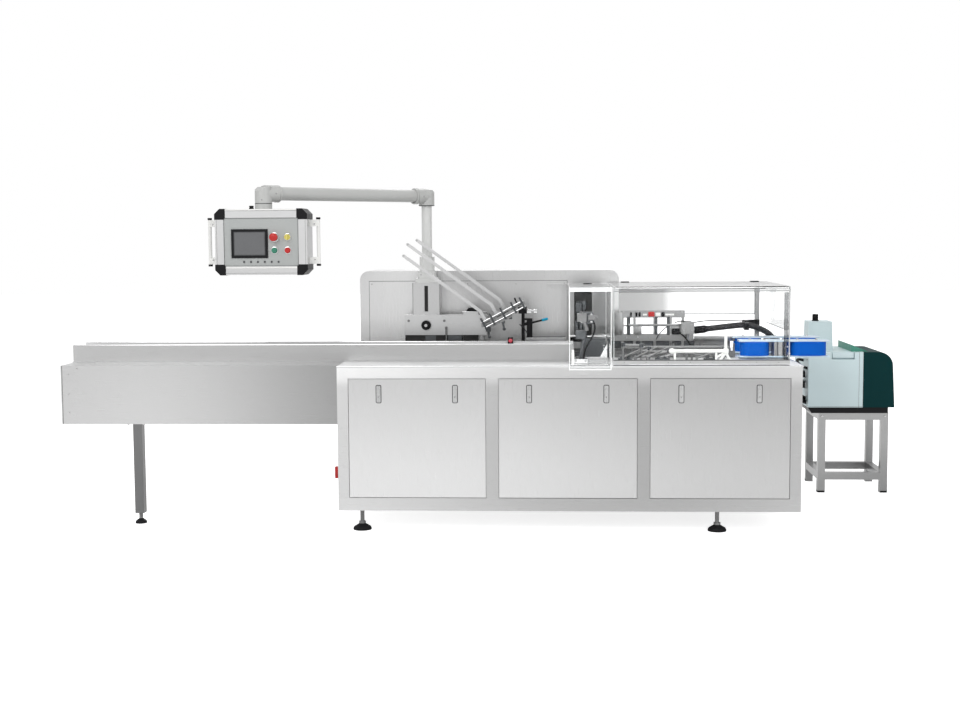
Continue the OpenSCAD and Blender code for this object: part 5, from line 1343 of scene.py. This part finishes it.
class CARTONER_OT_hood(bpy.types.Operator):
    """Add the painted highlights on the edges, the screws, the painted dark reflection of the bend line and
    the painted shadow lines at the foot of the clear hood.
    """
    bl_idname = "cartoner.hood"
    bl_label = "Hood"

    def execute(self, context):
        return add_pieces(self, {
            "Hood edges": ("clear_cover", "hood_edge", "hood"),
            "Hood bend lines": ("clear_cover", "bend", "hood"),
            "Hood corner strip": ("clear_cover", "corner", "hood"),
            "Hood foot shadow lines": ("black_rubber", "seam", "hood"),
            "Hood screws": ("bright_steel", "zinc", "hood"),
            "Hinge screws": ("bright_steel", "zinc"),
            "Rear screen edges": ("clear_cover", "bend"),
            "Post foot": ("stainless", "tube_steel"),
        })

    def hood_edges(self, bm):
        # Painted highlights: grey bars along the edges and the bend of the clear sheets.
        low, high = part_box("hood_shell")
        bend, thick, inset, steps = 0.022, 0.0024, 0.003, 6
        for x in (low.x + inset, high.x - inset):
            turns = [math.pi / 2 * k / steps for k in range(steps + 1)]
            edge_line(bm, [(x, low.y + inset, low.z),
                           *((x, low.y + bend - (bend - inset) * math.cos(turn),
                              high.z - bend + (bend - inset) * math.sin(turn)) for turn in turns),
                           (x, high.y, high.z - inset)], thick)
        low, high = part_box("hood_end")
        x, y, top = low.x + inset, low.y + 0.09, 1.02
        rod(bm, (x, y, low.z), (x, y, top - 0.002), thick, 8)
        rod(bm, (x, y, top), (x, high.y, top), thick, 8)

    def hood_corner_strip(self, bm):
        """The strip that joins the front sheet to the end sheet."""
        low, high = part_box("hood_shell")
        block(bm, (high.x - 0.03, low.y + 0.0065, low.z), (high.x - 0.007, low.y + 0.0085, high.z - 0.03))

    def hood_bend_lines(self, bm):
        # Painted dark reflections: dark bars along the hood's bends.
        low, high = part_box("hood_shell")
        for y, z, thick in ((low.y + 0.004, high.z - 0.022, 0.0016),
                            (high.y - 0.002, high.z - 0.003, 0.0024)):
            rod(bm, (low.x, y, z), (high.x, y, z), thick, 8)

    def hood_foot_shadow_lines(self, bm):
        """Painted shadow lines in the gaps above and below the trim."""
        low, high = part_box("hood_trim")
        block(bm, (low.x, low.y + 0.0035, TABLE), (high.x, low.y + 0.0085, TABLE + 0.004))
        block(bm, (low.x, low.y + 0.0022, high.z), (high.x, low.y + 0.0032, high.z + 0.005))

    def hood_screws(self, bm):
        count = 8
        for k in range(count):
            screw(bm, within("hood_trim", (k + 0.5) / count, 0.0, 0.5) + BACK * 0.0005, FRONT, 0.003)
        for z in (0.1, 0.22, 0.5, 0.78):
            screw(bm, within("hood_shell", 1.0, 0.0, z) + Vector((-0.012, 0.001, 0.0)), FRONT, 0.0045)

    def hinge_screws(self, bm):
        for box, x in product(solids("hood_hinge"), (0.15, 0.85)):
            screw(bm, within(box, x, 1.0, 1.0) + Vector((0.0, 0.012, -0.0165)), UP, 0.003)

    def rear_screen_edges(self, bm):
        # Painted dark reflections along the rear screen's low and outer edges.
        low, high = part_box("rear_screen")
        middle, inset, thick = (low.y + high.y) / 2, 0.002, 0.0022
        rod(bm, (low.x, middle, low.z + inset), (high.x, middle, low.z + inset), thick, 8)
        rod(bm, (high.x - inset, middle, low.z), (high.x - inset, middle, high.z), thick, 8)

    def post_foot(self, bm):
        low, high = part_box("hood_frame")
        left, wide, rim = 2.208, 0.024, 0.014
        slab(bm, (left - rim, left + wide + rim), (low.y, high.y + rim * 0.4), (TABLE, TABLE + 0.005), 0.001)


class CARTONER_OT_closing(bpy.types.Operator):
    """Add the sensors, blocks, folding rods and drag chains of the closing section."""
    bl_idname = "cartoner.closing"
    bl_label = "Closing section"

    # Spans along the hold-down frame with their lowest and highest places and their depths
    on_frame = {
        "blocks": (((1.517, 1.526), (1.546, 1.556), (1.563, 1.574), (1.688, 1.704)), 1.054, 1.078, 0.012),
        "spacers": (((1.586, 1.609), (1.709, 1.757)), 1.06, 1.07, 0.008),
        "wide spacer": (((1.655, 1.683),), 1.056, 1.076, 0.006),
        "posts": (((1.498, 1.518), (1.651, 1.667), (1.717, 1.734)), 0.953, 1.054, 0.004),
        "middle bar": (((1.508, 1.8),), 1.003, 1.014, 0.006),
        "low plates": (((1.541, 1.58), (1.744, 1.79)), 0.953, 1.003, 0.003),
        "end plate": (((1.43, 1.472),), 0.953, 1.078, 0.003),
        "clamp": (((1.616, 1.649),), 1.055, 1.081, 0.016),
    }

    def execute(self, context):
        bar = min(solids("closing_rails"), key=lambda pair: pair[1].x - pair[0].x)
        recolour("closing_rails", "white", inside(bar))
        recolour("glue_head", "tube_steel", inside(solids("glue_head")[0]))
        add_pieces(self, {
            "Bar blocks": ("black_plastic", "black"),
            "Bar spacers": ("handle_white", "white"),
            "Bar posts": ("chain_steel", "cast"),
            "Bar plates": ("frame_steel", "dark_frame"),
            "Rear guard": ("chain_steel", "cast"),
            "Rear guard end": ("frame_steel", "tube_steel"),
            "Red clamp": ("stop_red", "red"),
            "Frame screws": ("bright_steel", "zinc"),
            "Glue sensor": ("black_plastic", "black"),
            "Drag chains": ("chain_steel", "chain"),
            "Track pins": ("bright_steel", "zinc"),
            "Folding rods": ("bright_steel", "dark_frame"),
            "Folding clamps": ("chain_steel", "cast"),
            "Bar ends": ("handle_white", "white"),
            "Slide plate": ("bright_steel", "table"),
        })
        wire = fitting().wire
        cables([
            ("Sensor cable", ((1.784, 0.708, 0.966), (1.81, 0.69, 0.955), (1.845, 0.66, 0.905),
                              (1.865, 0.64, 0.852)), wire * 1.4),
            ("Bar cable", ((1.66, 0.715, 0.93), (1.675, 0.71, 0.965), (1.7, 0.712, 0.985),
                           (1.72, 0.716, 1.0)), wire),
            ("Head cable", ((1.76, 0.716, 1.02), (1.79, 0.71, 1.034), (1.82, 0.712, 1.022),
                            (1.845, 0.72, 1.03), (1.86, 0.72, 1.02)), wire),
            ("Wire to the head", ((1.852, 0.712, 1.018), (1.9, 0.71, 1.03), (1.98, 0.714, 1.034),
                                  (2.06, 0.72, 1.03), (2.15, 0.722, 1.028)), wire),
        ])
        return {"FINISHED"}

    def add_on_frame(self, bm, *groups):
        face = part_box("hold_down_frame")[0].y
        for group in groups:
            spans, low, high, deep = self.on_frame[group]
            for span in spans:
                slab(bm, span, (face - deep, face), (low, high), 0.0015)

    def bar_blocks(self, bm):
        self.add_on_frame(bm, "blocks")

    def bar_spacers(self, bm):
        self.add_on_frame(bm, "spacers", "wide spacer")

    def bar_posts(self, bm):
        self.add_on_frame(bm, "posts")

    def bar_plates(self, bm):
        self.add_on_frame(bm, "middle bar", "low plates", "end plate")

    def red_clamp(self, bm):
        self.add_on_frame(bm, "clamp")

    def rear_guard(self, bm):
        """The dark guard behind the lower bar, with a plate that stands before it."""
        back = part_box("hold_down_frame")[1].y
        slab(bm, (1.424, 1.87), (back, back + 0.004), (TABLE, 0.93))
        slab(bm, (1.56, 1.6), (back - 0.01, back), (TABLE, 0.9))

    def rear_guard_end(self, bm):
        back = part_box("hold_down_frame")[1].y
        slab(bm, (1.87, 2.06), (back, back + 0.004), (TABLE, 0.92))
        blocks(bm, [((1.866, 0.712, 0.919), (2.089, 0.718, 0.947), 0.001)])

    def frame_screws(self, bm):
        low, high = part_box("hold_down_frame")
        for z, shares in ((0.94, (0.03, 0.17, 0.31, 0.45, 0.59)), (high.z - 0.008, (0.13, 0.85)),
                          (0.955, (0.71, 0.96)), (0.995, (0.71, 0.96))):
            for share in shares:
                small_screw(bm, (low.x + share * (high.x - low.x), low.y, z), FRONT)

    def glue_sensor(self, bm):
        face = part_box("hold_down_frame")[0].y
        slab(bm, (1.744, 1.786), (face - 0.02, face), (0.957, 0.989), 0.003)
        rod(bm, (CORNER.x + 1.78, face - 0.01, 0.966), (CORNER.x + 1.795, face - 0.014, 0.962), 0.005)

    def drag_chains(self, bm):
        low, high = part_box("carton_track")
        pitch, wide, thick, inset = 0.025, 0.011, 0.0015, 0.01
        for share, k in product((0.36, 0.64), range(int((high.x - low.x - 2 * inset) / pitch))):
            x, y = low.x + inset + k * pitch, low.y + share * (high.y - low.y)
            for side in (y - wide, y + wide):
                block(bm, (x, side - thick, TABLE), (x + pitch * 0.92, side + thick, TABLE + 0.013))
            middle = Vector((x + pitch * 0.46, y, TABLE + 0.0075))
            rod(bm, middle + FRONT * wide, middle + BACK * wide, 0.0055, 8)

    def track_pins(self, bm):
        low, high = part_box("carton_track")
        pitch, rise = 0.08, 0.012
        for k in range(int((high.x - low.x) / pitch)):
            x = low.x + (k + 0.5) * pitch
            small_screw(bm, (x, low.y, low.z + rise), FRONT)
            small_screw(bm, (x, high.y, low.z + rise), BACK)

    def folding_rods(self, bm):
        rods(bm, [((1.455, 0.33, 0.866), (1.6, 0.4, 0.9), 0.005),
                  ((1.5, 0.29, 0.86), (1.7, 0.36, 0.892), 0.005),
                  ((1.64, 0.3, 0.862), (1.79, 0.33, 0.895), 0.006),
                  ((1.76, 0.3, 0.894), (1.9, 0.36, 0.864), 0.005),
                  ((1.56, 0.36, 0.892), (1.82, 0.36, 0.888), 0.006),
                  ((1.45, 0.3, 0.93), (1.56, 0.3, 0.926), 0.008),
                  ((1.84, 0.31, 0.86), (1.99, 0.4, 0.9), 0.005)])
        for x, y, top in ((1.458, 0.3, 0.936), (1.552, 0.3, 0.932), (1.6, 0.4, 0.906), (1.7, 0.36, 0.898),
                          (1.79, 0.33, 0.9), (1.9, 0.36, 0.87), (1.455, 0.33, 0.872), (1.5, 0.29, 0.866),
                          (1.64, 0.3, 0.868), (1.84, 0.31, 0.868), (1.82, 0.36, 0.894), (1.99, 0.4, 0.906)):
            rods(bm, [((x, y, TABLE), (x, y, top), 0.006)])

    def folding_clamps(self, bm):
        half, high = 0.011, 0.02
        for x, y, z in ((1.6, 0.4, 0.894), (1.7, 0.36, 0.886), (1.79, 0.33, 0.886), (1.9, 0.36, 0.858),
                        (1.552, 0.3, 0.918), (1.458, 0.3, 0.922), (1.99, 0.4, 0.892)):
            blocks(bm, [((x - half, y - half, z), (x + half, y + half, z + high), 0.003)])
            small_screw(bm, at(x, y - half, z + high / 2), FRONT)
        for x in (1.43, 1.62, 1.87):
            blocks(bm, [((x, 0.24, 0.8485), (x + 0.07, 0.27, 0.866), 0.003)])
            for inset in (0.018, 0.052):
                nut(bm, at(x + inset, 0.255, 0.866), UP, 0.008, 0.006)

    def bar_ends(self, bm):
        turned(bm, at(1.714, 0.2, 0.906), LEFT,
               [(0.009, 0.0), (0.013, 0.004), (0.015, 0.012), (0.012, 0.022), (0.006, 0.027), (0.0, 0.028)])
        foot = (1.976, 0.2, 0.9)
        rods(bm, [(foot, (1.945, 0.205, 0.852), 0.007), (foot, (2.0, 0.205, 0.852), 0.007),
                  (foot, (1.93, 0.205, 0.872), 0.006), ((1.976, 0.2, 0.985), (1.971, 0.2, 1.012), 0.005)])
        blocks(bm, [((1.963, 0.188, 0.893), (1.99, 0.212, 0.918), 0.004)])

    def slide_plate(self, bm):
        blocks(bm, [((1.405, 0.06, 0.8485), (1.475, 0.09, 0.862), 0.002),
                    ((1.4, 0.015, 0.8485), (2.255, 0.03, 0.853), 0.001)])


class CARTONER_OT_belts(bpy.types.Operator):
    """Add the rollers' tones, the plates' screws, the seams and the carriers of the side belts."""
    bl_idname = "cartoner.belts"
    bl_label = "Side belts"

    def execute(self, context):
        low, high = self.gap()
        recolour("belt_plates", "zinc", inside((low, high)))
        left = Vector(((low.x + high.x) / 2 - 0.011, high.y, high.z))
        recolour("belt_plates", "brass", inside((low, left)))
        return add_pieces(self, {
            "Belt plate screws": ("bright_steel", "zinc"),
            "Belt plate edges": ("plate_blue", "edge"),
            "Belt ribs": ("belt_blue", "belt_dark"),
            "Belt brackets": ("stainless", "tube_steel"),
        })

    def gap(self):
        """The space between the two belts in line, in which the rollers stand."""
        first, last = sorted(solids("side_belts"), key=lambda pair: pair[0].x)[1:3]
        low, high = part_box("side_belts")
        return Vector((first[1].x, low.y, low.z)), Vector((last[0].x, high.y, high.z))

    def belt_plate_screws(self, bm):
        for box, share in product(solids("belt_plates"), (0.13, 0.29, 0.5, 0.66, 0.87)):
            screw(bm, within(box, share, 0.5, 1.0), UP, fitting().screw)

    def belt_plate_edges(self, bm):
        # Painted highlights: white bars along the plates' upper edges.
        for low, high in solids("belt_plates"):
            for y in (low.y, high.y):
                rod(bm, (low.x, y, high.z - 0.0008), (high.x, y, high.z - 0.0008), 0.0009, 6)

    def belt_ribs(self, bm):
        """Seam lines of the belts, near their upper and lower edges."""
        inset, thick = 0.008, 0.0007
        for low, high in solids("side_belts"):
            radius = (high.y - low.y) / 2
            for y, z in product((low.y, high.y), (low.z + inset, high.z - inset)):
                rod(bm, (low.x + radius, y, z), (high.x - radius, y, z), thick, 6)

    def belt_brackets(self, bm):
        """Low carriers that bring the belts' load down to the table and out past its end."""
        end, inset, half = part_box("table_top")[1].x, 0.03, 0.012
        for low, high in solids("belt_plates"):
            middle = (low.y + high.y) / 2
            block(bm, (low.x + inset, middle - half, TABLE), (end, middle + half, low.z + 0.0005), 0.001)


class CARTONER_OT_glue(bpy.types.Operator):
    """Add the seams, the grip, the vents, the couplings and the hoses of the glue unit, with painted shade in
    the vents and in the gap at the cover.
    """
    bl_idname = "cartoner.glue"
    bl_label = "Glue unit"

    def execute(self, context):
        cap_foot = 0.9915
        recolour("glue_tank", "black", lambda point: point.z > cap_foot)
        add_pieces(self, {
            "Housing seams": ("glue_dark", "seam"),
            "Grip": ("glue_pale", "glue_pale"),
            "Cap ridges": ("glue_dark", "black"),
            "Coupling nuts": ("bright_steel", "zinc"),
            "Coupling plugs": ("handle_white", "white"),
            "Cover line": ("glue_dark", "shadow"),
            "Cover vents": ("glue_dark", "shadow"),
            "Housing screws": ("bright_steel", "zinc"),
            "Base feet": ("black_rubber", "rubber"),
            "Stand feet": ("black_rubber", "rubber"),
            "Stand welds": ("frame_steel", "tube_steel"),
            "Stand bolts": ("bright_steel", "zinc"),
        })
        cables([
            ("Inner hose high", ((2.541, 1.262, 0.69), (2.5, 1.25, 0.7), (2.49, 1.2, 0.66), (2.5, 1.19, 0.6),
                                 (2.53, 1.21, 0.56), (2.57, 1.22, 0.54)), 0.012),
            ("Inner hose low", ((2.541, 1.2, 0.628), (2.505, 1.19, 0.63), (2.505, 1.17, 0.57),
                                (2.54, 1.175, 0.53), (2.57, 1.2, 0.525)), 0.012),
            ("Power cable", ((2.57, 1.3, 0.76), (2.52, 1.28, 0.775), (2.51, 1.2, 0.76),
                             (2.53, 1.16, 0.735), (2.57, 1.17, 0.725)), 0.008),
        ], 12)
        return {"FINISHED"}

    def housing_seams(self, bm):
        low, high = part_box("glue_body")
        proud, wide, inset = fitting().proud, 0.0014, 0.004
        x = low.x + 0.289
        for near in (low.y - proud, high.y):
            block(bm, (x, near, low.z), (x + wide, near + proud, high.z - 0.001))
            block(bm, (low.x + inset, near, low.z + inset),
                  (high.x - inset / 2, near + proud, low.z + inset + wide))
        block(bm, (x, low.y, high.z), (x + wide, high.y, high.z + proud))

    def grip(self, bm):
        low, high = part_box("glue_body")
        block(bm, (low.x + 0.136, low.y + 0.001, high.z - 0.034),
              (low.x + 0.258, low.y + 0.014, high.z - 0.0015), 0.004)

    def cap_ridges(self, bm):
        low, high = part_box("glue_tank")
        centre = Vector((low.x + 0.056, (low.y + high.y) / 2, high.z))
        radius, rim, count = 0.016, 0.0205, 20
        for k in range(count):
            turn = 2 * math.pi * k / count
            place = centre + Vector((radius * math.cos(turn), radius * math.sin(turn), 0.0))
            rod(bm, place + DOWN * 0.034, place + DOWN * 0.003, 0.0013, 6)
        turned(bm, centre + DOWN * 0.04, UP, [(radius, 0.0), (rim, 0.0), (rim, 0.004), (radius, 0.006)], 32)

    def coupling_nuts(self, bm):
        for low, high in solids("glue_ports"):
            end = within((low, high), 1.0, 0.5, 0.5)
            rod(bm, end + LEFT * 0.009, end, (high.z - low.z) * 0.58, 6)

    def coupling_plugs(self, bm):
        """Two pale plugs on the free couplings."""
        for box, reach in zip(solids("glue_ports")[2:], (0.05, 0.042)):
            turned(bm, within(box, 0.0, 0.5, 0.5), LEFT,
                   [(0.022, -0.004), (0.026, 0.0), (0.026, reach * 0.7), (0.018, reach), (0.0, reach)], 32)

    def cover_line(self, bm):
        # Painted shadow: a dark line in the gap at the cover's left edge.
        low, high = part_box("glue_cover")
        block(bm, (low.x - 0.0008, low.y - 0.0006, low.z), (low.x + 0.0012, high.y + 0.0006, high.z - 0.002))

    def cover_vents(self, bm):
        """Vent slots low on the cover's outer end, dark with painted shade."""
        low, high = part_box("glue_cover")
        count, step, half, slot, middle = 8, 0.012, 0.08, 0.004, (low.y + high.y) / 2
        for k in range(count):
            rise = 0.06 + k * step
            end = high.x - 0.012 * rise / (high.z - low.z - 0.08)
            block(bm, (end - 0.003, middle - half, low.z + rise),
                  (end + 0.0004, middle + half, low.z + rise + slot))

    def housing_screws(self, bm):
        for x, z in product((0.04, 0.86), (0.06, 0.9)):
            small_screw(bm, within("glue_body", x, 1.0, z), BACK)
        for y, z in product((0.08, 0.92), (0.08, 0.86)):
            small_screw(bm, within("glue_body", 0.0, y, z), LEFT)

    def base_feet(self, bm):
        for x, y in product((0.12, 0.88), (0.1, 0.9)):
            turned(bm, within("glue_base", x, y, 0.0) + UP * 0.001, DOWN,
                   [(0.018, 0.0), (0.018, 0.0005), (0.0, 0.0008)])

    def stand_legs(self):
        """Each leg's middle with the directions to the stand's inside along X and Y, and the half width."""
        low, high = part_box("glue_stand")
        half = 0.02
        for (x, inner_x), (y, inner_y) in product(((low.x + half, 1), (high.x - half, -1)),
                                                  ((low.y + half, 1), (high.y - half, -1))):
            yield x, y, inner_x, inner_y, half

    def stand_feet(self, bm):
        for x, y, inner_x, inner_y, half in self.stand_legs():
            side = half + 0.0005
            block(bm, (x - side, y - side, 0.0), (x + side, y + side, 0.012), 0.002)

    def stand_welds(self, bm):
        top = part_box("glue_stand")[1].z
        for x, y, inner_x, inner_y, half in self.stand_legs():
            bead_x, bead_y, reach = x + inner_x * half, y + inner_y * half, half - 0.002
            for z in (0.076, 0.116, top - 0.04):
                rod(bm, (bead_x, y - reach, z), (bead_x, y + reach, z), 0.0022, 8)
                rod(bm, (x - reach, bead_y, z), (x + reach, bead_y, z), 0.0022, 8)

    def stand_bolts(self, bm):
        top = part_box("glue_stand")[1].z
        for x, y, inner_x, inner_y, half in self.stand_legs():
            screw(bm, (x, y - inner_y * half, top - 0.02), FRONT * inner_y, fitting().screw)


class CARTONER_OT_hose(bpy.types.Operator):
    """Add the braid, the end sleeves and the clamp's screws of the glue hose."""
    bl_idname = "cartoner.hose"
    bl_label = "Glue hose"

    def execute(self, context):
        return add_pieces(self, {
            "Hose braid rings": ("black_rubber", "hose"),
            "Hose sleeves": ("black_rubber", "rubber"),
            "Hose clamp screws": ("bright_steel", "zinc"),
            "Glue head parts": ("bright_steel", "zinc"),
        })

    def line(self):
        """Points on the smooth curve through the hose's route."""
        route = [at(*point) for point in HOSE_ROUTE]
        ends = [route[0], *route, route[-1]]
        points = []
        for a, b, c, d in zip(ends, ends[1:], ends[2:], ends[3:]):
            for k in range(HOSE_STEPS):
                t = k / HOSE_STEPS
                points.append((2 * b + (c - a) * t + (2 * a - 5 * b + 4 * c - d) * t * t
                               + (3 * b - a - 3 * c + d) * t * t * t) / 2)
        return [*points, route[-1]]

    def hose_braid_rings(self, bm):
        line, step = self.line(), 0.02
        for start, end in zip(line, line[1:]):
            count = max(1, int((end - start).length / step))
            for k in range(count):
                hoop(bm, start.lerp(end, k / count), end - start, HOSE_RADIUS, 0.0012, 16, 6)

    def hose_sleeves(self, bm):
        line, outer, mouth = self.line(), HOSE_RADIUS + 0.005, HOSE_RADIUS + 0.001
        for foot, beyond, long in ((line[0], line[1], 0.07), (line[-1], line[-2], 0.06)):
            turned(bm, foot, beyond - foot, [(0.0, 0.0), (outer, 0.0), (outer, long * 0.8), (mouth, long),
                                             (0.0, long)])

    def hose_clamp_screws(self, bm):
        for box, x in product(solids("glue_head")[1:], (0.06, 0.19)):
            small_screw(bm, within(box, x, 0.0, 1.0) + Vector((0.0, 0.002, -0.012)), FRONT)

    def glue_head_parts(self, bm):
        for x, z in product((0.2, 0.8), (0.55, 0.88)):
            small_screw(bm, within(solids("glue_head")[0], x, 0.0, z), FRONT)


OPERATORS = [CARTONER_OT_stage, CARTONER_OT_finishes, CARTONER_OT_cabinet, CARTONER_OT_conveyor,
             CARTONER_OT_panel, CARTONER_OT_arm, CARTONER_OT_magazine, CARTONER_OT_loader,
             CARTONER_OT_hood, CARTONER_OT_closing, CARTONER_OT_belts, CARTONER_OT_glue,
             CARTONER_OT_hose]


class CARTONER_PT_sidebar(bpy.types.Panel):
    """The steps of the scene, in order."""
    bl_idname = "CARTONER_PT_sidebar"
    bl_label = "Cartoner"
    bl_space_type = "VIEW_3D"
    bl_region_type = "UI"
    bl_category = "Cartoner"

    def draw(self, context):
        for operator in OPERATORS:
            self.layout.operator(operator.bl_idname)


CLASSES = [StageSettings, FittingSettings, *OPERATORS, CARTONER_PT_sidebar]


def register():
    for one in CLASSES:
        bpy.utils.register_class(one)
    bpy.types.Scene.cartoner_stage = bpy.props.PointerProperty(type=StageSettings)
    bpy.types.Scene.cartoner_fittings = bpy.props.PointerProperty(type=FittingSettings)


def unregister():
    del bpy.types.Scene.cartoner_stage
    del bpy.types.Scene.cartoner_fittings
    for one in reversed(CLASSES):
        bpy.utils.unregister_class(one)


def main():
    register()
    for operator in OPERATORS:
        group, name = operator.bl_idname.split(".")
        getattr(getattr(bpy.ops, group), name)()


if __name__ == "__main__":
    main()
